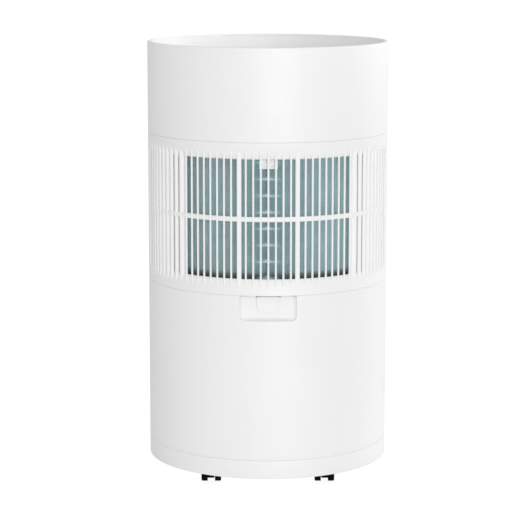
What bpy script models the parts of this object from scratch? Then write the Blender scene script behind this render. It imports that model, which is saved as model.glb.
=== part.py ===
"""A cylindrical portable air conditioner on four castors, as separate pieces.

Metres, +Z up. The origin is on the floor under the middle of the machine. The intake grille faces -Y and the
exhaust port faces +Y. An azimuth is measured round the vertical axis from -Y towards +X, in degrees.
"""

import math

import bmesh
import bpy
from mathutils import Matrix, Vector

# ---- driving dimensions -------------------------------------------------------------------------------------
RADIUS = 0.190  # outside of the casing
WALL = 0.0025  # moulded casing wall
GAP = 0.0003  # play between pieces that meet
SEAM = 0.0006  # joint between two casing pieces

BASE_BOTTOM = 0.022  # lower edge of the skirt, above the floor
BASE_TOP = 0.0508  # joint between base pan and casing
GRILLE_BOTTOM = 0.3080  # joint between lower casing and grille
GRILLE_TOP = 0.5416  # joint between grille and top collar
RIM_TOP = 0.684  # rim of the bowl

TURN_STEPS = 48  # facets in a full turn of the casing
ARC_STEPS = 24  # facets in half a turn
HALF_CASING = 89.8  # half the angle of a front or rear casing, degrees

# base pan
FLOOR_LOW = 0.0400
FLOOR_HIGH = 0.0435
SPIGOT_TOP = 0.0600

# grille
RECESS_RADIUS = 0.1845  # outside of the sunk frame behind the fins
RAMP_START = 0.0030  # the frame starts to slope in this far from its edge
RECESS_DROP = 0.0225  # and is fully sunk here
BAR_RADIUS = 0.1875  # outside of the horizontal middle bar
BAR_BACK_RADIUS = 0.1832
WINDOW_LOW = 0.3336
WINDOW_HIGH = 0.5156
BAR_LOW = 0.4212
BAR_HIGH = 0.4288
WINDOW_HALF_ANGLE = 43.4
FIN_PITCH = 3.5  # degrees
FIN_WIDTH = 0.0032
FIN_FRONT_RADIUS = 0.1899
FIN_BACK_RADIUS = 0.1825
THICK_FIN_WIDTH = 0.0072
LAST_FIN = 12
THICK_FIN = 4
SUNK_HALF_ANGLE = 44.3  # the sunk frame ends here
FLUSH_FROM = 45.0  # and the shell is flush from here
FIN_LOW = 0.3125
FIN_HIGH = 0.5370

# latch pocket and press tab
POCKET_HALF_WIDTH = 0.0415
POCKET_LOW = 0.2696
POCKET_FLOOR_Y = -0.1800
POCKET_CORNER = 0.0070
TAB_HALF_WIDTH = 0.0175
TAB_LOW = 0.2809
TAB_HIGH = 0.3062
TAB_FRONT_Y = -0.1830
TAB_THICKNESS = 0.0055
TAB_PLAY = 0.0006  # round the tab, in its hole

# heat exchangers
COIL_INNER = 0.1400
COIL_OUTER = 0.1660
TUBE_PITCH = 0.0254
TUBE_RADIUS = 0.0045
EVAPORATOR_LOW = 0.3138
EVAPORATOR_HIGH = 0.5230
EVAPORATOR_FIRST_TUBE = 0.3305
EVAPORATOR_TUBES = 8
CONDENSER_LOW = 0.0438
CONDENSER_HIGH = 0.3000
CONDENSER_FIRST_TUBE = 0.0600
CONDENSER_TUBES = 10
COIL_HALF_ANGLE = 50.0

# filter
FILTER_RADIUS = 0.1725
FILTER_HALF_ANGLE = 48.5
FILTER_LOW = 0.3245
FILTER_HIGH = 0.5210

# decks
TRAY_LOW = 0.3110
TRAY_HIGH = 0.3135
SHROUD_LOW = 0.5960
SHROUD_HIGH = 0.5990
DECK_LOW = 0.6300
DECK_HIGH = 0.6325

# air outlet in the top deck
OUTLET_Y = 0.030
OUTLET_HALF_LENGTH = 0.105
BLADE_COUNT = 3
BLADE_PITCH = 0.0305
BLADE_GAP = 0.0008
PIN_Z = DECK_LOW - 0.0022  # axis of a blade's pins
PIN_RADIUS = 0.0017
PIN_HOLE_RADIUS = 0.0022

# control panel
PANEL_Y = -0.1060
PANEL_HALF_LENGTH = 0.070
PANEL_HALF_WIDTH = 0.027
PANEL_TOP = 0.6350
BUTTON_NAMES = ("power", "mode", "speed", "down", "up")
BUTTON_PITCH = 0.024
BUTTON_RADIUS = 0.0075
LENS_LOW = 0.6270
LENS_HALF_LENGTH = 0.0282
LENS_HALF_WIDTH = 0.0082

# upper fan
FAN_RADIUS = 0.1140
FAN_BLADES = 7

# lower blower
BLOWER_Z = 0.165
SCROLL_START = 0.078
SCROLL_GROWTH = 0.020
WHEEL_RADIUS = 0.072
WHEEL_BLADES = 18

# exhaust port and the duct behind it
PORT_Z = 0.410
DUCT_LEFT = -0.0720
PIPE_INNER = 0.0580
PIPE_OUTER = 0.0605

# lower air intake, in the rear casing
SLOT_COUNT = 9  # on each side of the middle one
SLOT_LOW = 0.0900
SLOT_HIGH = 0.2700

# drain spout, under the floor of the base pan, and cord gland, in the rear casing
DRAIN_AZIMUTH = 162.0
DRAIN_Z = 0.0340
DRAIN_BORE = 0.0056
DRAIN_BACK = 0.1672  # radius where the spout starts
DRAIN_FACE = 0.1905  # and where it ends
SPOUT_RADIUS = 0.0115
ROOT_HALF_WIDTH = 0.0116  # the block that joins the spout to the floor
ROOT_OVERLAP = 0.0010  # how far it runs into the floor and the skirt
GLAND_AZIMUTH = 198.0
GLAND_Z = 0.0745
GLAND_HOLE_RADIUS = 0.0083

# compressor
COMPRESSOR_X = -0.075
COMPRESSOR_Y = -0.095
COMPRESSOR_RADIUS = 0.055
ACCUMULATOR_PLACE = (-0.0020, -0.1205)

# castors
CASTOR_X = 0.0889
CASTOR_Y = 0.1245
CASTOR_RADIUS = 0.015
CASTOR_TRAIL = 0.008
WHEEL_WIDTH = 0.0093
HUB_HALF_WIDTH = 0.0057
AXLE_RADIUS = 0.0025
STEM_HOLE_RADIUS = 0.0048

parts = None
cutters = None


# ---- helpers ------------------------------------------------------------------------------------------------
def material(name, colour, roughness, metallic=0.0):
    made = bpy.data.materials.new(name)
    made.use_nodes = True
    shader = made.node_tree.nodes["Principled BSDF"]
    shader.inputs["Base Color"].default_value = (*colour, 1.0)
    shader.inputs["Roughness"].default_value = roughness
    shader.inputs["Metallic"].default_value = metallic
    return made


def place(name, mesh, finish, location=(0, 0, 0), rotation=(0, 0, 0), parent=None):
    """A piece of the machine, in the parts collection."""
    obj = bpy.data.objects.new(name, mesh)
    obj.location = location
    obj.rotation_euler = rotation
    obj.parent = parent
    parts.objects.link(obj)
    if finish is not None:
        mesh.materials.clear()
        mesh.materials.append(finish)
    return obj


def helper(name, mesh, location=(0, 0, 0), rotation=(0, 0, 0)):
    """A shape that only cuts another or is joined to it."""
    obj = bpy.data.objects.new(name, mesh)
    obj.location = location
    obj.rotation_euler = rotation
    obj.hide_render = True
    obj.display_type = "WIRE"
    cutters.objects.link(obj)
    return obj


def combine(obj, other, operation):
    modifier = obj.modifiers.new(operation.lower(), "BOOLEAN")
    modifier.operation = operation
    modifier.solver = "EXACT"
    modifier.object = other
    return modifier


def mesh_from(name, build):
    """A mesh filled in by a function that is given an empty bmesh."""
    mesh = bpy.data.meshes.new(name)
    work = bmesh.new()
    build(work)
    work.to_mesh(mesh)
    work.free()
    return mesh


def smooth(obj, angle=35.0):
    obj.data.shade_smooth()
    obj.data.set_sharp_from_angle(angle=math.radians(angle))


def box(work, low, high, turn=None):
    """A box between two corners, then turned about the origin."""
    low = Vector(low)
    high = Vector(high)
    middle = Matrix.Translation((low + high) / 2)
    scale = Matrix.Diagonal((*(high - low), 1.0))
    bmesh.ops.create_cube(work, size=1.0, matrix=(turn or Matrix()) @ middle @ scale)


def rod(work, centre, axis, radius, length, sides, top_radius=None):
    """A cylinder or cone about its middle, along a unit axis."""
    turn = Vector((0, 0, 1)).rotation_difference(Vector(axis)).to_matrix().to_4x4()
    bmesh.ops.create_cone(
        work,
        cap_ends=True,
        segments=sides,
        radius1=radius,
        radius2=radius if top_radius is None else top_radius,
        depth=length,
        matrix=Matrix.Translation(centre) @ turn,
    )


def prism(work, outline, depth, matrix=None):
    """A flat outline, counter-clockwise in X and Y, raised along Z."""
    corners = [work.verts.new((x, y, 0.0)) for x, y in outline]
    face = work.faces.new(corners)
    raised = bmesh.ops.extrude_face_region(work, geom=[face])["geom"]
    tops = [item for item in raised if isinstance(item, bmesh.types.BMVert)]
    bmesh.ops.translate(work, verts=tops, vec=(0, 0, depth))
    bmesh.ops.recalc_face_normals(work, faces=list({side for top in tops for side in top.link_faces} | {face}))
    if matrix is not None:
        bmesh.ops.transform(work, matrix=matrix, verts=corners + tops)


def rounded_rectangle(half_x, half_y, corner, steps=4):
    points = []
    for quadrant in range(4):
        centre_x = (half_x - corner) * (1 if quadrant in (0, 3) else -1)
        centre_y = (half_y - corner) * (1 if quadrant in (0, 1) else -1)
        for step in range(steps + 1):
            angle = math.radians(90 * quadrant + 90 * step / steps)
            points.append((centre_x + corner * math.cos(angle), centre_y + corner * math.sin(angle)))
    return points


def polar(radius, azimuth):
    """The point at a radius and an azimuth from -Y towards +X."""
    angle = math.radians(azimuth)
    return radius * math.sin(angle), -radius * math.cos(angle)


def profile_mesh(name, profile, closed=False):
    """An edge chain of radius and height points in the X-Z plane, for a Screw modifier."""
    mesh = bpy.data.meshes.new(name)
    count = len(profile)
    edges = [(index, index + 1) for index in range(count - 1)]
    if closed:
        edges.append((count - 1, 0))
    mesh.from_pydata([(radius, 0.0, height) for radius, height in profile], edges, [])
    return mesh


def turn_profile(obj, steps, angle=360.0):
    modifier = obj.modifiers.new("turn", "SCREW")
    modifier.angle = math.radians(angle)
    modifier.steps = steps
    modifier.render_steps = steps
    modifier.use_merge_vertices = True
    modifier.merge_threshold = 0.00001
    modifier.use_smooth_shade = True
    return modifier


def turned(name, profile, finish, steps=TURN_STEPS, closed=False, **where):
    """A solid of revolution. The profile runs down its outer side, top to bottom."""
    obj = place(name, profile_mesh(name, profile, closed), finish, **where)
    turn_profile(obj, steps)
    return obj


def turned_helper(name, profile, steps, closed=False, **where):
    obj = helper(name, profile_mesh(name, profile, closed), **where)
    turn_profile(obj, steps)
    return obj


def arc_shell(name, profile, half_angle, centre_azimuth, thickness, finish, steps=ARC_STEPS):
    """A curved wall: a profile swept about the vertical axis, thickened inwards."""
    start = math.radians(centre_azimuth - 90.0 - half_angle)
    obj = place(name, profile_mesh(name, profile), finish, rotation=(0, 0, start))
    turn_profile(obj, steps, 2 * half_angle)
    modifier = obj.modifiers.new("wall", "SOLIDIFY")
    modifier.thickness = thickness
    modifier.offset = -1.0
    return obj


def ring_sector(work, inner, outer, low, high, centre_azimuth, half_angle, steps):
    """A solid piece of a ring."""
    outline = []
    for step in range(steps + 1):
        outline.append(polar(outer, centre_azimuth - half_angle + 2 * half_angle * step / steps))
    for step in range(steps + 1):
        outline.append(polar(inner, centre_azimuth + half_angle - 2 * half_angle * step / steps))
    prism(work, outline, high - low, Matrix.Translation((0, 0, low)))


def bevel(obj, width, segments=2, angle=40.0):
    modifier = obj.modifiers.new("edges", "BEVEL")
    modifier.width = width
    modifier.segments = segments
    modifier.limit_method = "ANGLE"
    modifier.angle_limit = math.radians(angle)
    return modifier


def tube(name, points, radius, finish):
    """A bent pipe through the points, with closed ends."""
    curve = bpy.data.curves.new(name, "CURVE")
    curve.dimensions = "3D"
    curve.bevel_depth = radius
    curve.bevel_resolution = 1
    curve.use_fill_caps = True
    spline = curve.splines.new("POLY")
    spline.points.add(len(points) - 1)
    for point, place_of in zip(spline.points, points):
        point.co = (*place_of, 1.0)
    curve.materials.append(finish)
    obj = bpy.data.objects.new(name, curve)
    parts.objects.link(obj)
    return obj


def smooth_route(points, per_stretch=2):
    """Points on a Catmull-Rom curve through a pipe's corners."""
    padded = [points[0], *points, points[-1]]
    route = []
    for index in range(1, len(padded) - 2):
        before, first, second, after = (Vector(padded[index + offset]) for offset in (-1, 0, 1, 2))
        for step in range(per_stretch):
            t = step / per_stretch
            route.append(
                0.5
                * (
                    2 * first
                    + (second - before) * t
                    + (2 * before - 5 * first + 4 * second - after) * t * t
                    + (3 * first - before - 3 * second + after) * t * t * t
                )
            )
    route.append(Vector(points[-1]))
    return route


# ---- casing -------------------------------------------------------------------------------------------------
def make_base_pan(finish):
    inner = RADIUS - 0.003
    profile = [
        (0.0, FLOOR_HIGH),
        (inner - 0.003, FLOOR_HIGH),
        (inner - 0.003, SPIGOT_TOP),
        (inner - 0.0010, SPIGOT_TOP),
        (inner - 0.0010, BASE_TOP - SEAM / 2),
        (RADIUS, BASE_TOP - SEAM / 2),
        (RADIUS, BASE_BOTTOM + 0.002),
        (RADIUS - 0.0015, BASE_BOTTOM),
        (inner, BASE_BOTTOM),
        (inner, FLOOR_LOW),
        (0.0, FLOOR_LOW),
    ]
    pan = turned("base_pan", profile, finish)

    def stem_holes(work):
        for x, y in castor_places():
            rod(work, (x, y, FLOOR_LOW), (0, 0, 1), STEM_HOLE_RADIUS, 0.02, 12)

    outwards = (*polar(1.0, DRAIN_AZIMUTH), 0)

    def spout(work):
        middle = (DRAIN_BACK + DRAIN_FACE) / 2
        rod(work, (*polar(middle, DRAIN_AZIMUTH), DRAIN_Z), outwards, SPOUT_RADIUS, DRAIN_FACE - DRAIN_BACK, 16)

    def spout_root(work):
        turn = Matrix.Rotation(math.radians(DRAIN_AZIMUTH), 4, "Z")
        low = (-ROOT_HALF_WIDTH, -inner - ROOT_OVERLAP, DRAIN_Z)
        box(work, low, (ROOT_HALF_WIDTH, -DRAIN_BACK - 0.0001, FLOOR_LOW + ROOT_OVERLAP), turn)

    def spout_bore(work):
        rod(work, (*polar(0.1890, DRAIN_AZIMUTH), DRAIN_Z), outwards, DRAIN_BORE, 0.0380, 16)

    def sink_hole(work):
        rod(work, (*polar(0.1745, DRAIN_AZIMUTH), DRAIN_Z + 0.0100), (0, 0, 1), 0.0040, 0.0200, 12)

    combine(pan, helper("stem_holes", mesh_from("stem_holes", stem_holes)), "DIFFERENCE")
    combine(pan, helper("spout_root", mesh_from("spout_root", spout_root)), "UNION")
    combine(pan, helper("drain_spout", mesh_from("drain_spout", spout)), "UNION")
    combine(pan, helper("spout_bore", mesh_from("spout_bore", spout_bore)), "DIFFERENCE")
    combine(pan, helper("sink_hole", mesh_from("sink_hole", sink_hole)), "DIFFERENCE")
    smooth(pan)


def make_lower_casing(finish):
    low = BASE_TOP + SEAM / 2
    high = GRILLE_BOTTOM - SEAM / 2
    casing = arc_shell("lower_front_casing", [(RADIUS, high), (RADIUS, low)], HALF_CASING, 0.0, WALL, finish)
    cup_high = high - 0.0001
    turn = Matrix.Rotation(math.radians(90), 4, "X")

    def pocket_outline(grow):
        half = POCKET_HALF_WIDTH + grow
        top = cup_high if grow > 0 else high + 0.01
        bottom = POCKET_LOW - grow
        corner = POCKET_CORNER + grow
        points = [(half, top), (-half, top)]
        for centre_x, first in ((-half + corner, 180), (half - corner, 270)):
            for step in range(5):
                angle = math.radians(first + 22.5 * step)
                points.append(
                    (centre_x + corner * math.cos(angle), bottom + corner + corner * math.sin(angle))
                )
        return points

    def cup(work):
        depth = 0.0092
        prism(work, pocket_outline(0.002), depth, Matrix.Translation((0, POCKET_FLOOR_Y + 0.002, 0)) @ turn)

    def hollow(work):
        prism(work, pocket_outline(0.0), 0.03, Matrix.Translation((0, POCKET_FLOOR_Y, 0)) @ turn)

    def tab_hole(work):
        place_hole = Matrix.Translation((0, POCKET_FLOOR_Y + 0.01, 0)) @ turn
        prism(work, tab_outline(TAB_PLAY), 0.02, place_hole)

    combine(casing, helper("pocket_cup", mesh_from("pocket_cup", cup)), "UNION")
    combine(casing, helper("pocket_hollow", mesh_from("pocket_hollow", hollow)), "DIFFERENCE")
    combine(casing, helper("tab_hole", mesh_from("tab_hole", tab_hole)), "DIFFERENCE")


def tab_outline(grow):
    """The U-shaped press tab, flat at the top and round below."""
    half = TAB_HALF_WIDTH + grow
    corner = 0.009
    points = [(half, TAB_HIGH + grow), (-half, TAB_HIGH + grow)]
    for centre_x, first in ((-half + corner, 180), (half - corner, 270)):
        for step in range(5):
            angle = math.radians(first + 22.5 * step)
            points.append(
                (
                    centre_x + corner * math.cos(angle),
                    TAB_LOW - grow + corner + corner * math.sin(angle),
                )
            )
    return points


def make_latch_tab(finish):
    turn = Matrix.Rotation(math.radians(90), 4, "X")

    def build(work):
        prism(work, tab_outline(0.0), TAB_THICKNESS, Matrix.Translation((0, TAB_THICKNESS, 0)) @ turn)

    place("latch_tab", mesh_from("latch_tab", build), finish, location=(0, TAB_FRONT_Y, 0))


def make_grille(finish):
    """A shell that is sunk behind the open fins and flush beside them, with its window, bar and fins."""
    low = GRILLE_BOTTOM + SEAM / 2
    high = GRILLE_TOP - SEAM / 2
    heights = [high, high - RAMP_START, high - RECESS_DROP, low + RECESS_DROP, low + RAMP_START, low]
    flush = [RADIUS] * len(heights)
    sunk = [RADIUS, RADIUS, RECESS_RADIUS, RECESS_RADIUS, RADIUS, RADIUS]

    def columns():
        """The azimuth and the radii of each upright line of the shell, left to right."""
        side = HALF_CASING - FLUSH_FROM
        for step in range(7):
            yield -HALF_CASING + side * step / 6, flush
        for step in range(13):
            yield -SUNK_HALF_ANGLE + 2 * SUNK_HALF_ANGLE * step / 12, sunk
        for step in range(7):
            yield FLUSH_FROM + side * step / 6, flush

    def shell(work):
        rows = []
        for azimuth, radii in columns():
            rows.append([work.verts.new((*polar(radius, azimuth), z)) for radius, z in zip(radii, heights)])
        for left, right in zip(rows, rows[1:]):
            for index in range(len(heights) - 1):
                work.faces.new((left[index], left[index + 1], right[index + 1], right[index]))

    def window(work):
        ring_sector(work, 0.170, 0.200, WINDOW_LOW, WINDOW_HIGH, 0.0, WINDOW_HALF_ANGLE, 12)

    def filter_guides(work):
        for azimuth in (-FILTER_HALF_ANGLE + 1.5, FILTER_HALF_ANGLE - 1.5):
            turn = Matrix.Rotation(math.radians(azimuth), 4, "Z")
            low_corner = (-0.0020, -(RADIUS - 0.0012), FILTER_LOW)
            box(work, low_corner, (0.0020, -FILTER_RADIUS - GAP, FILTER_HIGH), turn)

    def bar(work):
        ring_sector(work, BAR_BACK_RADIUS, BAR_RADIUS, BAR_LOW, BAR_HIGH, 0.0, FLUSH_FROM + 0.2, 13)

    def fins(work):
        for index in range(-LAST_FIN, LAST_FIN + 1):
            azimuth = index * FIN_PITCH
            width = FIN_WIDTH
            if abs(index) == THICK_FIN:
                width = THICK_FIN_WIDTH
                azimuth -= math.copysign(0.3, index)
            open_fin(work, azimuth, width)

    grille = place("intake_grille", mesh_from("intake_grille", shell), finish)
    wall = grille.modifiers.new("wall", "SOLIDIFY")
    wall.thickness = WALL
    wall.offset = -1.0
    combine(grille, helper("grille_window", mesh_from("grille_window", window)), "DIFFERENCE")
    combine(grille, helper("filter_guides", mesh_from("filter_guides", filter_guides)), "UNION")
    combine(grille, helper("grille_bar", mesh_from("grille_bar", bar)), "UNION")
    combine(grille, helper("grille_fins", mesh_from("grille_fins", fins)), "UNION").solver = "MANIFOLD"


def open_fin(work, azimuth, width):
    """A fin whose sides run straight back along Y, so that the slots beside it look square to the front."""
    reach = math.degrees(width / 2 / RADIUS)
    left_x, left_y = polar(FIN_FRONT_RADIUS, azimuth - reach)
    right_x, right_y = polar(FIN_FRONT_RADIUS, azimuth + reach)
    left_back = -math.sqrt(FIN_BACK_RADIUS**2 - left_x**2)
    right_back = -math.sqrt(FIN_BACK_RADIUS**2 - right_x**2)
    outline = [(left_x, left_y), (right_x, right_y), (right_x, right_back), (left_x, left_back)]
    prism(work, outline, FIN_HIGH - FIN_LOW, Matrix.Translation((0, 0, FIN_LOW)))


def make_rear_casing(finish):
    low = BASE_TOP + SEAM / 2
    high = GRILLE_TOP - SEAM / 2
    casing = arc_shell("rear_casing", [(RADIUS, high), (RADIUS, low)], HALF_CASING, 180.0, WALL, finish)
    along_y = (0, 1, 0)

    def boss(work):
        rod(work, (0, 0.1744, PORT_Z), along_y, 0.0800, 0.0288, 32)

    def port(work):
        rod(work, (0, 0.1850, PORT_Z), along_y, 0.0765, 0.0260, 32)

    def port_hole(work):
        rod(work, (0, 0.1700, PORT_Z), along_y, PIPE_OUTER + 0.0010, 0.0800, 32)

    def port_back(work):
        box(work, (-0.0803, 0.10, PORT_Z - 0.09), (0.0803, 0.1690, PORT_Z + 0.09))

    def slots(work):
        for index in range(-SLOT_COUNT, SLOT_COUNT + 1):
            turn = Matrix.Rotation(math.radians(180 + index * FIN_PITCH), 4, "Z")
            box(work, (-0.0040, -0.200, SLOT_LOW), (0.0040, -0.180, SLOT_HIGH), turn)

    def gland_hole(work):
        outwards = (*polar(1.0, GLAND_AZIMUTH), 0)
        rod(work, (*polar(RADIUS, GLAND_AZIMUTH), GLAND_Z), outwards, GLAND_HOLE_RADIUS, 0.04, 16)

    combine(casing, helper("port_boss", mesh_from("port_boss", boss)), "UNION")
    combine(casing, helper("port_recess", mesh_from("port_recess", port)), "DIFFERENCE")
    combine(casing, helper("port_back", mesh_from("port_back", port_back)), "DIFFERENCE")
    combine(casing, helper("port_hole", mesh_from("port_hole", port_hole)), "DIFFERENCE")
    combine(casing, helper("intake_slots", mesh_from("intake_slots", slots)), "DIFFERENCE")
    combine(casing, helper("gland_hole", mesh_from("gland_hole", gland_hole)), "DIFFERENCE")


def make_top_collar(finish):
    low = GRILLE_TOP + SEAM / 2
    inner = RADIUS - 0.0028
    profile = [
        (RADIUS - 0.0018, RIM_TOP),
        (RADIUS - 0.0005, RIM_TOP - 0.0005),
        (RADIUS, RIM_TOP - 0.0018),
        (RADIUS, low),
        (inner, low),
        (inner, RIM_TOP - 0.0028),
        (inner - 0.0030, RIM_TOP - 0.0028),
        (inner - 0.0030, RIM_TOP - 0.0012),
        (inner - 0.0020, RIM_TOP),
    ]
    turned("top_collar", profile, finish, closed=True)


def make_top_deck(finish):
    outer = RADIUS - 0.0032
    inner = RADIUS - 0.0062
    top = RIM_TOP - 0.0031
    profile = [
        (0.0, DECK_HIGH),
        (inner - 0.0070, DECK_HIGH),
        (inner - 0.0020, DECK_HIGH + 0.0020),
        (inner, DECK_HIGH + 0.0070),
        (inner, top),
        (outer, top),
        (outer, DECK_LOW),
        (0.0, DECK_LOW),
    ]
    deck = turned("top_deck", profile, finish)
    half_width = BLADE_COUNT * BLADE_PITCH / 2 + BLADE_GAP / 2

    def throat(work):
        box(
            work,
            (-OUTLET_HALF_LENGTH - 0.0025, OUTLET_Y - half_width - 0.0025, SHROUD_HIGH + GAP),
            (OUTLET_HALF_LENGTH + 0.0025, OUTLET_Y + half_width + 0.0025, DECK_LOW + 0.001),
        )

    def throat_hole(work):
        box(
            work,
            (-OUTLET_HALF_LENGTH, OUTLET_Y - half_width, SHROUD_HIGH - 0.01),
            (OUTLET_HALF_LENGTH, OUTLET_Y + half_width, DECK_HIGH + 0.01),
        )

    def pin_holes(work):
        for index in range(BLADE_COUNT):
            rod(work, (0, blade_y(index), PIN_Z), (1, 0, 0), PIN_HOLE_RADIUS, 2 * OUTLET_HALF_LENGTH + 0.02, 12)

    def panel_hole(work):
        box(
            work,
            (-PANEL_HALF_LENGTH + 0.005, PANEL_Y - PANEL_HALF_WIDTH + 0.005, DECK_LOW - 0.01),
            (PANEL_HALF_LENGTH - 0.005, PANEL_Y + PANEL_HALF_WIDTH - 0.005, DECK_HIGH + 0.01),
        )

    combine(deck, helper("throat", mesh_from("throat", throat)), "UNION")
    combine(deck, helper("throat_hole", mesh_from("throat_hole", throat_hole)), "DIFFERENCE")
    combine(deck, helper("pin_holes", mesh_from("pin_holes", pin_holes)), "DIFFERENCE")
    combine(deck, helper("panel_hole", mesh_from("panel_hole", panel_hole)), "DIFFERENCE")


# ---- air outlet and controls --------------------------------------------------------------------------------
def blade_y(index):
    return OUTLET_Y + (index - (BLADE_COUNT - 1) / 2) * BLADE_PITCH


def make_outlet_blades(finish):
    half = (BLADE_PITCH - BLADE_GAP) / 2
    length = OUTLET_HALF_LENGTH - 0.0006

    def build(work):
        box(work, (-length, -half, 0.0014), (length, half, 0.0038))

    def pins(work):
        rod(work, (0, 0, 0), (1, 0, 0), PIN_RADIUS, 2 * OUTLET_HALF_LENGTH + 0.0036, 12)
        box(work, (-length, -0.0012, 0.0), (-length + 0.002, 0.0012, 0.0020))
        box(work, (length - 0.002, -0.0012, 0.0), (length, 0.0012, 0.0020))

    pin_mesh = mesh_from("blade_pins", pins)
    for index in range(BLADE_COUNT):
        location = (0, blade_y(index), PIN_Z)
        mesh = mesh_from("outlet_blade", build)
        blade = place(f"outlet_blade_{index + 1}", mesh, finish, location=location)
        own_pins = helper(f"blade_pins_{index + 1}", pin_mesh, location=location)
        combine(blade, own_pins, "UNION").use_self = True


def make_control_panel(panel_finish, lens_finish, button_finish, board_finish):
    row_y = PANEL_Y - 0.0105
    display_y = PANEL_Y + 0.0125

    def plate(work):
        outline = rounded_rectangle(PANEL_HALF_LENGTH, PANEL_HALF_WIDTH, 0.010)
        matrix = Matrix.Translation((0, PANEL_Y, DECK_HIGH + GAP))
        prism(work, outline, PANEL_TOP - DECK_HIGH - GAP, matrix)

    def openings(work):
        for index in range(len(BUTTON_NAMES)):
            x = (index - 2) * BUTTON_PITCH
            rod(work, (x, row_y, PANEL_TOP), (0, 0, 1), BUTTON_RADIUS + 0.0006, 0.02, 16)
        half_y = LENS_HALF_WIDTH + GAP
        low = (-LENS_HALF_LENGTH - GAP, display_y - half_y, PANEL_TOP - 0.01)
        box(work, low, (LENS_HALF_LENGTH + GAP, display_y + half_y, PANEL_TOP + 0.01))

    panel = place("control_panel", mesh_from("control_panel", plate), panel_finish)
    combine(panel, helper("panel_openings", mesh_from("panel_openings", openings)), "DIFFERENCE")

    def lens(work):
        low = (-LENS_HALF_LENGTH, display_y - LENS_HALF_WIDTH, LENS_LOW)
        box(work, low, (LENS_HALF_LENGTH, display_y + LENS_HALF_WIDTH, PANEL_TOP - 0.0002))

    place("display_lens", mesh_from("display_lens", lens), lens_finish)

    def cap(work):
        rod(work, (0, 0, 0), (0, 0, 1), BUTTON_RADIUS, 0.0050, 16)

    for index, name in enumerate(BUTTON_NAMES):
        x = (index - 2) * BUTTON_PITCH
        mesh = mesh_from("button", cap)
        button = place(f"button_{name}", mesh, button_finish, location=(x, row_y, PANEL_TOP - 0.0015))
        smooth(button)

    def board(work):
        box(work, (-0.062, PANEL_Y - 0.022, LENS_LOW - 0.0019), (0.062, PANEL_Y + 0.022, LENS_LOW - GAP))

    place("control_board", mesh_from("control_board", board), board_finish)


# ---- filter -------------------------------------------------------------------------------------------------
def make_filter(frame_finish, screen_finish):
    outer = FILTER_RADIUS
    inner_low = 0.3305
    inner_high = 0.5150
    half = FILTER_HALF_ANGLE
    opening_half = half - 1.6

    def frame(work):
        ring_sector(work, outer - 0.0025, outer, FILTER_LOW, FILTER_HIGH, 0.0, half, 14)

    def opening(work):
        ring_sector(work, outer - 0.01, outer + 0.01, inner_low, inner_high, 0.0, opening_half, 14)

    def tab(work):
        box(work, (-0.0142, -outer - 0.0030, 0.5013), (0.0142, -outer + 0.0012, 0.5160))

    def dimples(work):
        for x in (-0.0057, 0.0057):
            for z in (0.5050, 0.5112):
                rod(work, (x, -outer - 0.0030, z), (0, 1, 0), 0.0012, 0.0020, 8)

    holder = place("filter_frame", mesh_from("filter_frame", frame), frame_finish)
    combine(holder, helper("filter_opening", mesh_from("filter_opening", opening)), "DIFFERENCE")
    combine(holder, helper("filter_tab", mesh_from("filter_tab", tab)), "UNION")
    combine(holder, helper("filter_dimples", mesh_from("filter_dimples", dimples)), "DIFFERENCE")

    def screen(work):
        low = inner_low + GAP
        high = inner_high - GAP
        ring_sector(work, outer - 0.0022, outer - 0.0016, low, high, 0.0, opening_half - 0.2, 14)

    place("filter_screen", mesh_from("filter_screen", screen), screen_finish)


# ---- refrigeration circuit ----------------------------------------------------------------------------------
def make_coil(name, centre_azimuth, low, high, first_tube, tubes, finish):
    """A curved finned block with end plates and the return bends of its tubes, brazed into one."""
    half = COIL_HALF_ANGLE
    middle = (COIL_INNER + COIL_OUTER) / 2
    row_gap = 0.0060

    def block(work):
        ring_sector(work, COIL_INNER, COIL_OUTER, low, high, centre_azimuth, half, 14)

    def bends(work):
        for index in range(tubes):
            height = first_tube + index * TUBE_PITCH
            azimuth = centre_azimuth - half
            start = Vector((*polar(middle, azimuth), height))
            turn = Matrix.Rotation(math.radians(azimuth), 4, "Z")
            half_bend(work, Matrix.Translation(start) @ turn, row_gap)

    coil = place(name, mesh_from(name, block), finish)
    combine(coil, helper(f"{name}_bends", mesh_from(f"{name}_bends", bends)), "UNION")


def half_bend(work, matrix, radius):
    """Half a ring of tube joining the front row to the back row, with its feet inside the block."""
    steps = 3
    sides = 4
    rings = []
    for step in range(steps + 1):
        angle = math.pi * step / steps
        centre = Vector((0.0010 - radius * math.sin(angle) * 1.2, radius * math.cos(angle), 0.0))
        tangent = Vector((-math.cos(angle), -math.sin(angle), 0.0)).normalized()
        across = tangent.cross(Vector((0, 0, 1)))
        ring = []
        for corner in range(sides):
            turn = 2 * math.pi * corner / sides
            offset = across * math.cos(turn) * TUBE_RADIUS + Vector((0, 0, 1)) * math.sin(turn) * TUBE_RADIUS
            ring.append(work.verts.new(matrix @ (centre + offset)))
        rings.append(ring)
    made = [work.faces.new(rings[0]), work.faces.new(rings[-1])]
    for first, second in zip(rings, rings[1:]):
        for corner in range(sides):
            following = (corner + 1) % sides
            made.append(work.faces.new((first[corner], first[following], second[following], second[corner])))
    bmesh.ops.recalc_face_normals(work, faces=made)


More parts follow.
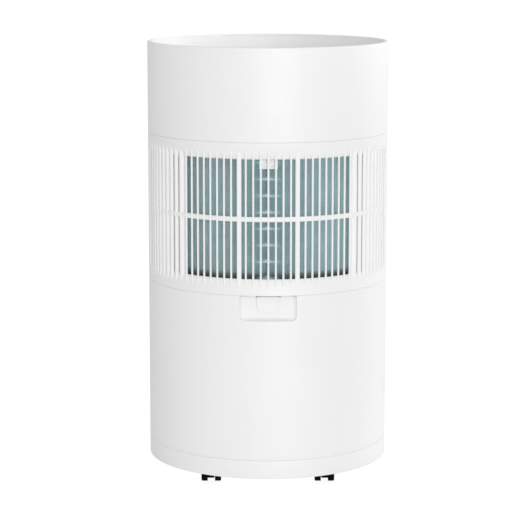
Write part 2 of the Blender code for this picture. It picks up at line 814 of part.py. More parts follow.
def make_compressor(shell_finish, rubber_finish):
    r = COMPRESSOR_RADIUS
    location = (COMPRESSOR_X, COMPRESSOR_Y, 0)
    profile = [
        (0.0, 0.2500),
        (r * 0.55, 0.2470),
        (r * 0.90, 0.2340),
        (r, 0.2180),
        (r, 0.0880),
        (r * 0.92, 0.0720),
        (r * 0.70, 0.0640),
        (0.060, 0.0640),
        (0.060, 0.0610),
        (0.0, 0.0610),
    ]
    turned("compressor", profile, shell_finish, steps=20, location=location)

    accumulator_profile = [
        (0.0, 0.2140),
        (0.010, 0.2100),
        (0.020, 0.1980),
        (0.022, 0.1880),
        (0.022, 0.0980),
        (0.016, 0.0860),
        (0.0, 0.0820),
    ]
    turned("accumulator", accumulator_profile, shell_finish, steps=18, location=(*ACCUMULATOR_PLACE, 0))
    for index, direction in enumerate((-68, 52, 172)):
        angle = math.radians(direction)
        spot = (COMPRESSOR_X + 0.046 * math.cos(angle), COMPRESSOR_Y + 0.046 * math.sin(angle), 0)
        grommet = [
            (0.0, 0.0607),
            (0.0085, 0.0607),
            (0.0095, 0.0560),
            (0.0070, 0.0520),
            (0.0100, 0.0438),
            (0.0, 0.0438),
        ]
        turned(f"rubber_mount_{index + 1}", grommet, rubber_finish, steps=14, location=spot)


def make_pipes(finish):
    discharge = [
        (COMPRESSOR_X, COMPRESSOR_Y, 0.2505),
        (COMPRESSOR_X, COMPRESSOR_Y, 0.2700),
        (-0.095, -0.075, 0.2840),
        (-0.128, -0.030, 0.2870),
        (-0.142, 0.020, 0.2870),
        (-0.136, 0.060, 0.2850),
        (-0.1270, 0.0880, 0.2850),
    ]
    suction = [
        (*ACCUMULATOR_PLACE, 0.2143),
        (*ACCUMULATOR_PLACE, 0.2450),
        (0.035, -0.100, 0.2800),
        (0.074, -0.066, 0.3080),
        (0.098, -0.062, 0.3300),
        (0.1170, -0.0750, 0.3430),
    ]
    liquid = [
        (0.1290, 0.0860, 0.0800),
        (0.1400, 0.0560, 0.0800),
        (0.1430, 0.0000, 0.1200),
        (0.1400, -0.0400, 0.2300),
        (0.1360, -0.0480, 0.3200),
        (0.1330, -0.0560, 0.4300),
        (0.1250, -0.0760, 0.4700),
    ]
    tube("discharge_pipe", smooth_route(discharge), 0.004, finish)
    tube("suction_pipe", smooth_route(suction), 0.005, finish)
    tube("liquid_pipe", smooth_route(liquid), 0.003, finish)


# ---- decks and frame ----------------------------------------------------------------------------------------
def make_drip_tray(finish):
    profile = [
        (0.0, TRAY_HIGH),
        (0.1755, TRAY_HIGH),
        (0.1755, 0.3225),
        (0.1780, 0.3225),
        (0.1780, TRAY_LOW),
        (0.0, TRAY_LOW),
    ]
    tray = turned("drip_tray", profile, finish, steps=36)

    def holes(work):
        box(work, (0.030, 0.010, 0.30), (0.102, 0.075, 0.33))
        for x in (-1, 1):
            box(work, (x * 0.1694 - 0.0036, 0.0020, 0.30), (x * 0.1694 + 0.0036, 0.0280, 0.33))
        rod(work, (0.0790, -0.0650, 0.3120), (0, 0, 1), 0.0100, 0.03, 12)
        rod(work, (0.1362, -0.0475, 0.3120), (0, 0, 1), 0.0055, 0.03, 12)

    combine(tray, helper("tray_holes", mesh_from("tray_holes", holes)), "DIFFERENCE")


def make_chassis_posts(finish):
    for side, name in ((-1, "left"), (1, "right")):

        def build(work):
            box(work, (-0.0030, -0.0125, FLOOR_HIGH + GAP), (0.0030, 0.0125, SHROUD_LOW - GAP))

        location = (side * 0.1694, 0.015, 0)
        place(f"chassis_post_{name}", mesh_from("chassis_post", build), finish, location=location)


def make_upper_fan(shroud_finish, wheel_finish, motor_finish):
    mouth = FAN_RADIUS + 0.004
    profile = [
        (RADIUS - 0.0035, SHROUD_HIGH),
        (RADIUS - 0.0035, SHROUD_LOW),
        (mouth + 0.0080, SHROUD_LOW),
        (mouth + 0.0025, SHROUD_LOW - 0.0060),
        (mouth + 0.0025, 0.5490),
        (mouth, 0.5490),
        (mouth, SHROUD_HIGH - 0.0030),
        (mouth + 0.0020, SHROUD_HIGH),
    ]
    shroud = turned("fan_shroud", profile, shroud_finish, closed=True)

    def spider(work):
        rod(work, (0, 0, 0.5505), (0, 0, 1), 0.030, 0.0030, 24)
        for index in range(3):
            turn = Matrix.Rotation(math.radians(30 + 120 * index), 4, "Z")
            box(work, (0.020, -0.006, 0.5492), (mouth + 0.001, 0.006, 0.5518), turn)

    def shaft_hole(work):
        rod(work, (0, 0, 0.5505), (0, 0, 1), 0.0060, 0.02, 12)

    arms = helper("shroud_spider", mesh_from("shroud_spider", spider))
    combine(shroud, arms, "UNION").use_self = True
    combine(shroud, helper("shaft_hole", mesh_from("shaft_hole", shaft_hole)), "DIFFERENCE")

    def blades(work):
        for index in range(FAN_BLADES):
            turn = Matrix.Rotation(2 * math.pi * index / FAN_BLADES, 4, "Z")
            lean = Matrix.Rotation(math.radians(32), 4, "X")
            box(work, (0.024, -0.0260, -0.0010), (FAN_RADIUS, 0.0260, 0.0010), turn @ lean)

    wheel_profile = [
        (0.0, 0.0150),
        (0.024, 0.0150),
        (0.030, 0.0090),
        (0.030, -0.0150),
        (0.0032, -0.0150),
        (0.0032, 0.0100),
        (0.0, 0.0100),
    ]
    wheel = turned("fan_wheel", wheel_profile, wheel_finish, steps=20, location=(0, 0, 0.5730))
    blade_helper = helper("fan_blades", mesh_from("fan_blades", blades), location=(0, 0, 0.5730))
    combine(wheel, blade_helper, "UNION").use_self = True

    motor_profile = [
        (0.0, 0.5820),
        (0.0028, 0.5820),
        (0.0028, 0.5485),
        (0.0330, 0.5485),
        (0.0420, 0.5420),
        (0.0420, 0.5110),
        (0.0340, 0.5050),
        (0.0, 0.5050),
    ]
    turned("fan_motor", motor_profile, motor_finish, steps=20)


def make_lower_blower(housing_finish, wheel_finish, motor_finish):
    turn = Matrix.Rotation(math.radians(90), 4, "X")
    front = 0.0120
    back = 0.0720
    top = TRAY_LOW - GAP

    def scroll_outline(offset, height):
        """A spiral from its tongue round to the +X side, then a straight throat upwards, seen from -Y."""
        points = []
        for step in range(26):
            angle = math.radians(60 + 300 * step / 25)
            radius = SCROLL_START + SCROLL_GROWTH * step / 25 + offset
            points.append((radius * math.cos(angle), BLOWER_Z + radius * math.sin(angle)))
        return [*points, (points[-1][0], height), (points[0][0] - offset, height)]

    def body(work):
        prism(work, scroll_outline(0.002, top), back - front, Matrix.Translation((0, back, 0)) @ turn)

    def hollow(work):
        depth = back - front - 0.004
        prism(work, scroll_outline(0.0, top + 0.01), depth, Matrix.Translation((0, back - 0.002, 0)) @ turn)

    def inlet(work):
        rod(work, (0, back, BLOWER_Z), (0, 1, 0), 0.0560, 0.02, 32)
        rod(work, (0, front, BLOWER_Z), (0, 1, 0), 0.0100, 0.02, 16)

    def feet(work):
        for x in (-0.050, 0.050):
            box(work, (x - 0.010, front, FLOOR_HIGH + GAP), (x + 0.010, back, BLOWER_Z - 0.0780))

    housing = place("blower_housing", mesh_from("blower_housing", body), housing_finish)
    combine(housing, helper("blower_feet", mesh_from("blower_feet", feet)), "UNION")
    combine(housing, helper("blower_hollow", mesh_from("blower_hollow", hollow)), "DIFFERENCE")
    combine(housing, helper("blower_inlet", mesh_from("blower_inlet", inlet)), "DIFFERENCE")

    centre_y = (front + back) / 2
    half = 0.0240
    wheel_profile = [
        (0.0, -half + 0.0200),
        (0.0110, -half + 0.0200),
        (0.0140, -half + 0.0030),
        (WHEEL_RADIUS, -half + 0.0020),
        (WHEEL_RADIUS, -half),
        (0.0032, -half),
        (0.0032, -half + 0.0150),
        (0.0, -half + 0.0150),
    ]
    wheel = turned(
        "blower_wheel",
        wheel_profile,
        wheel_finish,
        steps=WHEEL_BLADES,
        location=(0, centre_y, BLOWER_Z),
        rotation=(math.radians(-90), 0, 0),
    )

    def blades(work):
        for index in range(WHEEL_BLADES):
            angle = 2 * math.pi * (index + 0.5) / WHEEL_BLADES
            spin = Matrix.Rotation(angle, 4, "Z")
            lean = Matrix.Translation((0.0650, 0, 0)) @ Matrix.Rotation(math.radians(28), 4, "Z")
            box(work, (-0.0065, -0.0005, -half + 0.001), (0.0065, 0.0005, half - 0.001), spin @ lean)

    where = {"location": (0, centre_y, BLOWER_Z), "rotation": (math.radians(-90), 0, 0)}
    blade_helper = helper("blower_blades", mesh_from("blower_blades", blades), **where)
    combine(wheel, blade_helper, "UNION")
    ring_profile = [
        (WHEEL_RADIUS, half),
        (WHEEL_RADIUS, half - 0.0025),
        (WHEEL_RADIUS - 0.0135, half - 0.0025),
        (WHEEL_RADIUS - 0.0135, half),
    ]
    ring = turned_helper("blower_ring", ring_profile, WHEEL_BLADES, closed=True, **where)
    combine(wheel, ring, "UNION")

    motor_profile = [
        (0.0, 0.0448),
        (0.0028, 0.0448),
        (0.0028, 0.0240),
        (0.0300, 0.0240),
        (0.0370, 0.0190),
        (0.0370, -0.0180),
        (0.0300, -0.0240),
        (0.0, -0.0240),
    ]
    turned(
        "blower_motor",
        motor_profile,
        motor_finish,
        steps=20,
        location=(0, front - GAP - 0.0240, BLOWER_Z),
        rotation=(math.radians(-90), 0, 0),
    )


def make_exhaust(duct_finish, pipe_finish):
    low = TRAY_HIGH + GAP
    high = 0.4760
    back = 0.1480

    def outline(inset):
        """Five walls in plan, the fifth cutting off the corner that would meet the tray's rim."""
        return [
            (DUCT_LEFT + inset, 0.0100 + inset),
            (0.1030 - inset, 0.0100 + inset),
            (0.1030 - inset, 0.1000 - 0.3 * inset),
            (0.0720 - 0.55 * inset, back - inset),
            (DUCT_LEFT + inset, back - inset),
        ]

    def shell(work):
        prism(work, outline(0.0), high - low, Matrix.Translation((0, 0, low)))

    def hollow(work):
        prism(work, outline(0.002), high - low - 0.004, Matrix.Translation((0, 0, low + 0.002)))

    def openings(work):
        box(work, (0.0390, 0.0140, TRAY_HIGH - 0.01), (0.0980, 0.0700, TRAY_HIGH + 0.01))
        rod(work, (0, back, PORT_Z), (0, 1, 0), PIPE_INNER, 0.02, 32)

    duct = place("exhaust_duct", mesh_from("exhaust_duct", shell), duct_finish)
    combine(duct, helper("duct_openings", mesh_from("duct_openings", openings)), "DIFFERENCE")
    combine(duct, helper("duct_hollow", mesh_from("duct_hollow", hollow)), "DIFFERENCE")

    profile = [
        (PIPE_OUTER - 0.0006, 0.0400),
        (PIPE_OUTER, 0.0394),
        (PIPE_OUTER, 0.0),
        (PIPE_INNER, 0.0),
        (PIPE_INNER, 0.0400),
    ]
    turned(
        "exhaust_collar",
        profile,
        pipe_finish,
        steps=32,
        closed=True,
        location=(0, back + GAP, PORT_Z),
        rotation=(math.radians(-90), 0, 0),
    )


def make_small_fittings(box_finish, rubber_finish):
    def electrics(work):
        box(work, (-0.1420, 0.0350, TRAY_HIGH + GAP), (DUCT_LEFT - GAP, 0.0950, 0.4720))

    case = place("electrical_box", mesh_from("electrical_box", electrics), box_finish)
    bevel(case, 0.002, 1)

    plug_profile = [
        (0.0, 0.0050),
        (0.0095, 0.0050),
        (0.0105, 0.0040),
        (0.0105, 0.0003),
        (0.0052, 0.0003),
        (0.0046, -0.0150),
        (0.0, -0.0150),
    ]
    turned(
        "drain_plug",
        plug_profile,
        rubber_finish,
        steps=16,
        location=(*polar(DRAIN_FACE, DRAIN_AZIMUTH), DRAIN_Z),
        rotation=(math.radians(-90), 0, math.radians(DRAIN_AZIMUTH - 180)),
    )
    gland_profile = [
        (0.0060, 0.0060),
        (0.0080, 0.0050),
        (0.0110, 0.0028),
        (0.0110, 0.0003),
        (0.0078, 0.0003),
        (0.0078, -0.0120),
        (0.0040, -0.0120),
        (0.0040, 0.0060),
    ]
    turned(
        "cord_gland",
        gland_profile,
        rubber_finish,
        steps=16,
        closed=True,
        location=(*polar(RADIUS, GLAND_AZIMUTH), GLAND_Z),
        rotation=(math.radians(-90), 0, math.radians(GLAND_AZIMUTH - 180)),
    )


# ---- castors ------------------------------------------------------------------------------------------------
def castor_places():
    return [(x * CASTOR_X, y * CASTOR_Y) for y in (-1, 1) for x in (-1, 1)]


def make_castors(hood_finish, wheel_finish, steel_finish):
    def hood(work):
        box(work, (-HUB_HALF_WIDTH, -0.0110, 0.0090), (HUB_HALF_WIDTH, 0.0160, 0.0320))

    def crown(work):
        rod(work, (0, CASTOR_TRAIL * 0.5, 0.0333), (0, 0, 1), 0.0150, 0.0030, 14)
        rod(work, (0, 0, 0.0370), (0, 0, 1), 0.0090, 2 * (FLOOR_LOW - GAP - 0.0370), 14)
        rod(work, (0, 0, 0.0385), (0, 0, 1), 0.0040, 0.0090, 12)

    def axle_hole(work):
        rod(work, (0, CASTOR_TRAIL, CASTOR_RADIUS), (1, 0, 0), AXLE_RADIUS + GAP, 0.03, 12)

    inner = HUB_HALF_WIDTH + GAP
    outer = inner + WHEEL_WIDTH
    wheel_profile = [
        (CASTOR_RADIUS - 0.0015, outer),
        (CASTOR_RADIUS, outer - 0.0020),
        (CASTOR_RADIUS, inner + 0.0010),
        (CASTOR_RADIUS - 0.0010, inner),
        (AXLE_RADIUS + GAP, inner),
        (AXLE_RADIUS + GAP, outer),
    ]

    def axle(work):
        rod(work, (0, 0, 0), (1, 0, 0), AXLE_RADIUS, 2 * outer - 0.0008, 12)

    crown_mesh = mesh_from("castor_crown", crown)
    hole_mesh = mesh_from("castor_axle_hole", axle_hole)
    names = ("front_left", "front_right", "rear_left", "rear_right")
    for name, (x, y) in zip(names, castor_places()):
        pivot = bpy.data.objects.new(f"castor_pivot_{name}", None)
        pivot.location = (x, y, 0)
        parts.objects.link(pivot)
        body = place(f"castor_hood_{name}", mesh_from("castor_hood", hood), hood_finish, parent=pivot)
        combine(body, helper(f"castor_crown_{name}", crown_mesh, location=(x, y, 0)), "UNION").use_self = True
        combine(body, helper(f"castor_bore_{name}", hole_mesh, location=(x, y, 0)), "DIFFERENCE")
        centre = (0, CASTOR_TRAIL, CASTOR_RADIUS)
        for side, side_name in ((-1, "left"), (1, "right")):
            turned(
                f"castor_wheel_{name}_{side_name}",
                wheel_profile,
                wheel_finish,
                steps=14,
                closed=True,
                location=centre,
                rotation=(0, math.radians(90 * side), 0),
                parent=pivot,
            )
        rod_mesh = mesh_from("castor_axle", axle)
        place(f"castor_axle_{name}", rod_mesh, steel_finish, location=centre, parent=pivot)


# ---- the machine --------------------------------------------------------------------------------------------
def main():
    global parts, cutters
    for obj in list(bpy.data.objects):
        bpy.data.objects.remove(obj, do_unlink=True)
    parts = bpy.data.collections.new("portable_air_conditioner")
    cutters = bpy.data.collections.new("cutters")
    bpy.context.scene.collection.children.link(parts)
    bpy.context.scene.collection.children.link(cutters)

    white = material("white_plastic", (0.86, 0.86, 0.87), 0.45)
    inner_grey = material("grey_plastic", (0.30, 0.31, 0.32), 0.55)
    foam = material("white_foam", (0.80, 0.80, 0.79), 0.80)
    black = material("black_plastic", (0.02, 0.02, 0.02), 0.45)
    rubber = material("rubber", (0.03, 0.03, 0.03), 0.80)
    steel = material("steel", (0.60, 0.60, 0.61), 0.35, 1.0)
    zinc = material("zinc_plate", (0.55, 0.56, 0.57), 0.40, 1.0)
    copper = material("copper", (0.72, 0.40, 0.25), 0.35, 1.0)
    teal = material("coated_fins", (0.30, 0.48, 0.50), 0.45, 0.4)
    aluminium = material("bare_fins", (0.62, 0.63, 0.64), 0.40, 1.0)
    shell_black = material("compressor_paint", (0.04, 0.04, 0.045), 0.50)
    lens = material("dark_lens", (0.02, 0.025, 0.03), 0.10)
    button = material("button_plastic", (0.75, 0.76, 0.77), 0.40)
    green_board = material("circuit_board", (0.05, 0.22, 0.10), 0.50)
    mesh_grey = material("filter_mesh", (0.55, 0.60, 0.61), 0.70)

    make_base_pan(white)
    make_lower_casing(white)
    make_latch_tab(white)
    make_grille(white)
    make_rear_casing(white)
    make_top_collar(white)
    make_top_deck(white)
    make_outlet_blades(white)
    make_control_panel(black, lens, button, green_board)
    make_filter(white, mesh_grey)
    make_coil(
        "evaporator_coil",
        0.0,
        EVAPORATOR_LOW,
        EVAPORATOR_HIGH,
        EVAPORATOR_FIRST_TUBE,
        EVAPORATOR_TUBES,
        teal,
    )
    make_coil(
        "condenser_coil",
        180.0,
        CONDENSER_LOW,
        CONDENSER_HIGH,
        CONDENSER_FIRST_TUBE,
        CONDENSER_TUBES,
        aluminium,
    )
    make_compressor(shell_black, rubber)
    make_pipes(copper)
    make_drip_tray(foam)
    make_chassis_posts(zinc)
    make_upper_fan(foam, inner_grey, zinc)
    make_lower_blower(foam, black, zinc)
    make_exhaust(inner_grey, white)
    make_small_fittings(zinc, rubber)
    make_castors(black, black, steel)


main()
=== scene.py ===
"""The finished look of a cylindrical portable air conditioner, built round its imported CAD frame.

Metres, +Z up. The intake grille faces -Y. An azimuth is measured round the vertical axis from -Y
towards +X, in degrees. Sizes that the frame holds are read from it, and the rest are named here.
"""

import math

import bmesh
import bpy
from mathutils import Matrix, Vector


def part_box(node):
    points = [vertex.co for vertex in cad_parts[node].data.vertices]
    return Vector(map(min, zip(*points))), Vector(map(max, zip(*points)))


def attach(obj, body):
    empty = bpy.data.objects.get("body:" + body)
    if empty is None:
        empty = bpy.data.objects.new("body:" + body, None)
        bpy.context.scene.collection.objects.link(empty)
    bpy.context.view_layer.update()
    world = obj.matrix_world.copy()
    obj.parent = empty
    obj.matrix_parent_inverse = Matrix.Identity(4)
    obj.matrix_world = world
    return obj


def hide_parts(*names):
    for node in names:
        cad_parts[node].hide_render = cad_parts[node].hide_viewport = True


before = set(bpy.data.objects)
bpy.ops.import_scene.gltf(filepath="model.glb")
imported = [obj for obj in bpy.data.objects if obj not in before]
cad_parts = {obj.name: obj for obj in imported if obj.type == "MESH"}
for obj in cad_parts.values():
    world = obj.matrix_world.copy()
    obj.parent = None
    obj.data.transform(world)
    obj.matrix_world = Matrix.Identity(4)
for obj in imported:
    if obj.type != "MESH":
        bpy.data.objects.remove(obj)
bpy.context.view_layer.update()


# ---- sizes read from the frame ----
def low_of(node):
    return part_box(node)[0]


def high_of(node):
    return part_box(node)[1]


def middle_of(node):
    return (low_of(node) + high_of(node)) / 2


RADIUS = (high_of("top_collar").x - low_of("top_collar").x) / 2
WALL = 0.0025
SKIRT_LOW = low_of("base_pan").z
SEAM_CLOSED = 0.00024  # how far each edge at a seam reaches into the gap
CASING_LOW = low_of("lower_front_casing").z - SEAM_CLOSED
SKIRT_HIGH = CASING_LOW - 0.00016
CASING_HIGH = high_of("lower_front_casing").z + SEAM_CLOSED
GRILLE_LOW = low_of("intake_grille").z - SEAM_CLOSED
GRILLE_HIGH = high_of("intake_grille").z + SEAM_CLOSED
COLLAR_LOW = low_of("top_collar").z - SEAM_CLOSED
RIM = high_of("top_collar").z
SEAM_EDGE = 0.00025  # rounding of the edges that meet at a seam

# base pan and drain
SKIRT_WALL = 0.0030
PAN_LOW = 0.0400
PAN_HIGH = 0.0435
PAN_RIB_LOW = 0.0365
PAN_RIB_RADII = (0.108, 0.048)
PAN_RIB_WIDTH = 0.0020
DRAIN_BORE = 0.0056  # a radius
DRAIN_AZIMUTH = 162.0  # of the stopper
SPOUT_REACH = 0.1905  # of its mouth from the middle

# casings
FRONT_END = 89.9  # azimuth of the upright edges of the front casing and the grille
REAR_END = 90.1  # and of the rear casing
PORT_HOLE = 0.0785  # a radius
PORT_RING = 0.0800  # outer radius of the ring that lines the hole
PORT_SEAT = 0.0615  # its inner radius
PORT_FRONT = 0.1690  # Y of its front, and of its rim below
PORT_RIM = 0.1888
SLOT_HALF_WIDTH = 0.0040
SLOT_HALF_HEIGHT = 0.0900
SLOT_MIDDLE = 0.1800
SLOTS_A_SIDE = 9
GLAND_BORE = 0.0083  # a radius
GLAND_AZIMUTH = 198.0  # of the bush
SCREW_AZIMUTHS = (96.5, 263.5)
SCREW_HEIGHTS = (CASING_LOW + 0.016, 0.205, 0.360, GRILLE_HIGH - 0.016)

# top collar and deck
COLLAR_WALL = 0.0028
RIM_WIDTH = 0.0062
DECK_LOW = 0.6300
DECK_HIGH = 0.6325
THROAT_LOW = 0.5993
OUTLET_HALF_LENGTH = 0.1050
OUTLET_LIP = 0.0045
BLADE_HALF_LENGTH = 0.1044
BLADE_PIN_RADIUS = 0.0017
BUTTON_HOLE = 0.0081  # a radius
LENS_GAP = 0.0003
PANEL_LEDGE = 0.0050  # how far the panel rests on the deck

# grille
FIN_PITCH = 3.485  # degrees
OPEN_FINS = 12  # on each side of the middle one
THICK_FIN = 4
THICK_FIN_SHIFT = 0.3  # degrees towards the middle
FRAME_FIN = 13
FRAME_FIN_SHIFT = 0.4  # degrees towards the middle
LAST_BLIND_FIN = 22
FIN_WIDTH = 0.0031
THICK_FIN_WIDTH = 0.0070
FRAME_FIN_WIDTH = 0.0082
BLIND_FIN_WIDTH = 0.0080  # times the cosine of its azimuth
FIN_DEPTH = 0.0054  # over the cosine of its azimuth
FIN_MOST_DEPTH = 0.0110
FIN_END_GAP = 0.0030  # from a seam to the end of a fin
FIN_SET_BACK = 0.0016  # from the casing's surface to the front of a fin
NOSE = 0.0010  # how far the rounded front of a fin stands out
SUNK_RADIUS = RADIUS - 0.0055
SHALLOW_FROM = 52.0  # azimuth from which the shell behind the fins rises to the casing
SHALLOWING = 0.62  # share of its depth lost at the side
RAMP_FOOT = 0.0016
RAMP_HEIGHT = 0.0240
RAMP_STEPS = 12
WINDOW_LOW = GRILLE_LOW + 0.0253
WINDOW_HIGH = GRILLE_HIGH - 0.0257
BAR_MIDDLE = 0.4250
BAR_HALF_HEIGHT = 0.0038
BAR_SET_BACK = 0.0025
BAR_DEPTH = 0.0045
WINDOW_HALF_ANGLE = 43.6
FLUSH_FROM = 79.2
CREASES = (48.05, 51.75)  # azimuths of the two narrow creases on each side of the window
CREASE_HALF_ANGLE = 0.24
CREASE_DEPTH = 0.0052  # straight back along Y
CREASE_WALL = 0.05  # degrees

# filter
FILTER_RADIUS = 0.1725
FILTER_HALF_ANGLE = 48.5
FILTER_RIM_HEIGHT = 0.0060
FILTER_RIM_DEPTH = 0.0025
FILTER_TAB_HALF_WIDTH = 0.0142
FILTER_TAB_LOW = 0.5013
FILTER_TAB_HIGH = 0.5160
FILTER_TAB_REACH = 0.0075  # out from the rim
THREAD_HALF = 0.00013
UPRIGHT_THREADS = 91
LEVEL_THREADS = 59

# heat exchangers
COIL_INNER = 0.1400
COIL_OUTER = 0.1660
COIL_HALF_ANGLE = 50.0
PLATE_PITCH = 0.0009
PLATE_HALF = 0.00006
TUBE_PITCH = 0.0254
OUTER_ROW = COIL_OUTER - 0.0078
INNER_ROW = COIL_INNER + 0.0055
TUBES_START = COIL_HALF_ANGLE + 1.0  # azimuth from the coil's middle where the bends begin
BEND_REACH = 2.4  # degrees
# top of the painted shade on the coil's foot, and the height over which it fades
COIL_FOOT = 0.3320
COIL_FOOT_FADE = 0.0090

# upper fan and castors
FAN_HUB = 0.030
FAN_TIP = 0.1135
BLADES = 7
MOUTH_RADIUS = 0.118
SHROUD_LOW = 0.5960
SHROUD_HIGH = 0.5990
MOTOR_PLATE_LOW = 0.5490
MOTOR_PLATE_HIGH = 0.5520
HOOD_LOW = 0.0090
HOOD_HIGH = 0.0318
HOOD_HALF_WIDTH = 0.0052

# latch pocket
POCKET_HALF_WIDTH = 0.0436
POCKET_LOW = 0.2692
POCKET_CORNER = 0.0080
POCKET_SLOPE = 0.0060  # width of its side wall, which is a quarter round
POCKET_FLOOR_Y = -0.1810
POCKET_TOP_GAP = 0.0012  # between its floor and the grille
TAB_TOP_GAP = 0.0040  # the same above the tab
TAB_SLIT_HALF = 0.0168
TOP_GAP_FADE = 0.0040  # height over which either gap closes


# ---- mesh helpers ----
def polar(radius, azimuth, z=0.0):
    angle = math.radians(azimuth)
    return Vector((radius * math.sin(angle), -radius * math.cos(angle), z))


def fillet(points, radius, steps=4, closed=False):
    """A flat outline with its corners rounded. The radius is one number, or one for each corner."""
    count = len(points)
    rounded = []
    for index, point in enumerate(points):
        corner = Vector(point)
        reach = radius[index] if isinstance(radius, (list, tuple)) else radius
        if reach <= 0 or (not closed and index in (0, count - 1)):
            rounded.append(corner)
            continue
        before = Vector(points[index - 1]) - corner
        after = Vector(points[(index + 1) % count]) - corner
        angle = before.angle(after)
        cut = min(reach / math.tan(angle / 2), 0.48 * before.length, 0.48 * after.length)
        start = corner + before.normalized() * cut
        end = corner + after.normalized() * cut
        for step in range(steps + 1):
            t = step / steps
            rounded.append(start.lerp(corner, t).lerp(corner.lerp(end, t), t))
    return rounded


def loft(work, rows, close_rows=False, close_points=False):
    """Quads between rows of points."""
    made = [[work.verts.new(point) for point in row] for row in rows]
    pairs = list(zip(made, made[1:]))
    if close_rows:
        pairs.append((made[-1], made[0]))
    count = len(made[0])
    for first, second in pairs:
        for index in range(count if close_points else count - 1):
            following = (index + 1) % count
            work.faces.new((first[index], first[following], second[following], second[index]))
    return made


def cap(work, rows):
    work.faces.new(rows[0])
    work.faces.new(rows[-1])


def revolve(work, profile, steps=192, start=0.0, end=360.0, closed=False, matrix=None):
    """A profile of radius and height points swept about the vertical axis."""
    full = end - start > 359.9
    count = steps if full else steps + 1
    rows = []
    for step in range(count):
        azimuth = start + (end - start) * step / steps
        row = [polar(radius, azimuth, z) for radius, z in profile]
        rows.append([matrix @ point for point in row] if matrix else row)
    made = loft(work, rows, close_rows=full, close_points=closed)
    if closed and not full:
        cap(work, made)


def sweep(work, path, radius, sides=10):
    """A round tube along a path."""
    rings = []
    for index, point in enumerate(path):
        ahead = Vector(path[min(index + 1, len(path) - 1)]) - Vector(path[max(index - 1, 0)])
        across = ahead.cross(Vector((0, 0, 1)))
        if across.length < 1e-6:
            across = ahead.cross(Vector((0, 1, 0)))
        across.normalize()
        up = across.cross(ahead).normalized()
        ring = []
        for side in range(sides):
            angle = 2 * math.pi * side / sides
            ring.append(Vector(point) + radius * (math.cos(angle) * across + math.sin(angle) * up))
        rings.append(ring)
    cap(work, loft(work, rings, close_points=True))


def slab(work, outline, low, high, matrix=None):
    """A flat outline raised from one height to another."""
    rows = [[Vector((*point, z)) for point in outline] for z in (low, high)]
    if matrix:
        rows = [[matrix @ point for point in row] for row in rows]
    cap(work, loft(work, rows, close_points=True))


def block(work, low, high, matrix=None):
    corners = [(low[0], low[1]), (high[0], low[1]), (high[0], high[1]), (low[0], high[1])]
    slab(work, corners, low[2], high[2], matrix)


def rectangle(half_x, half_y, corner, steps=6):
    corners = [(-half_x, -half_y), (half_x, -half_y), (half_x, half_y), (-half_x, half_y)]
    return fillet(corners, corner, steps, closed=True)


def smooth(obj, sharp=30.0):
    obj.data.shade_smooth()
    obj.data.set_sharp_from_angle(angle=math.radians(sharp))


def new_object(name, data):
    obj = bpy.data.objects.new(name, data)
    bpy.context.scene.collection.objects.link(obj)
    return obj


def shape(name, build, material, sharp=30.0, outwards=True, edge=0.0, edge_steps=3):
    """An object whose mesh is filled in by a function. Edge rounds its sharp edges."""
    mesh = bpy.data.meshes.new(name)
    work = bmesh.new()
    build(work)
    bmesh.ops.remove_doubles(work, verts=work.verts, dist=1e-7)
    if outwards:
        bmesh.ops.recalc_face_normals(work, faces=work.faces)
    work.to_mesh(mesh)
    work.free()
    mesh.materials.append(material)
    obj = new_object(name, mesh)
    smooth(obj, sharp)
    if edge:
        modifier = obj.modifiers.new("edge", "BEVEL")
        modifier.width = edge
        modifier.segments = edge_steps
        modifier.limit_method = "ANGLE"
        modifier.angle_limit = math.radians(40)
        modifier.harden_normals = True
    return obj


def combine(obj, build, operation="DIFFERENCE"):
    """Cuts a shape from the object, or adds one to it, and keeps the result as its mesh."""
    other = shape("helper", build, obj.data.materials[0])
    modifier = obj.modifiers.new("combine", "BOOLEAN")
    modifier.operation = operation
    modifier.solver = "EXACT"
    modifier.object = other
    bpy.context.view_layer.update()
    graph = bpy.context.evaluated_depsgraph_get()
    mesh = bpy.data.meshes.new_from_object(obj.evaluated_get(graph))
    obj.modifiers.clear()
    obj.data = mesh
    bpy.data.objects.remove(other)
    smooth(obj)


def piece(obj, body, slot, *nodes):
    """The object moves with a body and hides the CAD nodes it stands for. Its slot is not used."""
    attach(obj, body)
    if nodes:
        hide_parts(*nodes)


ALONG_X = Matrix(((0, 0, 1, 0), (1, 0, 0, 0), (0, 1, 0, 0), (0, 0, 0, 1)))  # of an outline in Y and Z


def moved(x, y, z=0.0):
    return Matrix.Translation((x, y, z))


def turned(degrees, axis="Z"):
    return Matrix.Rotation(math.radians(degrees), 4, axis)


def facing(azimuth, radius, z):
    """A place on the casing whose local Z points outwards."""
    return Matrix.Translation(polar(radius, azimuth, z)) @ turned(azimuth) @ turned(90, "X")


PORT_PLACE = moved(0, 0, middle_of("exhaust_collar").z) @ turned(-90, "X")


def at_node(node, radius, azimuth=None):
    """A place at a node's height, outwards from the middle of its box unless an azimuth is given."""
    middle = middle_of(node)
    if azimuth is None:
        azimuth = 180 - math.degrees(math.atan2(middle.x, middle.y))
    return facing(azimuth, radius, middle.z)


def bore(radius, half):
    """The profile of a round bar, which also cuts a hole."""
    return [(0.0, half), (radius, half), (radius, -half), (0.0, -half)]


# ---- materials ----
def fill(node, **values):
    """Sets inputs of a node. A name has _ where the input has a space."""
    for name, value in values.items():
        node.inputs[name.replace("_", " ")].default_value = value
    return node


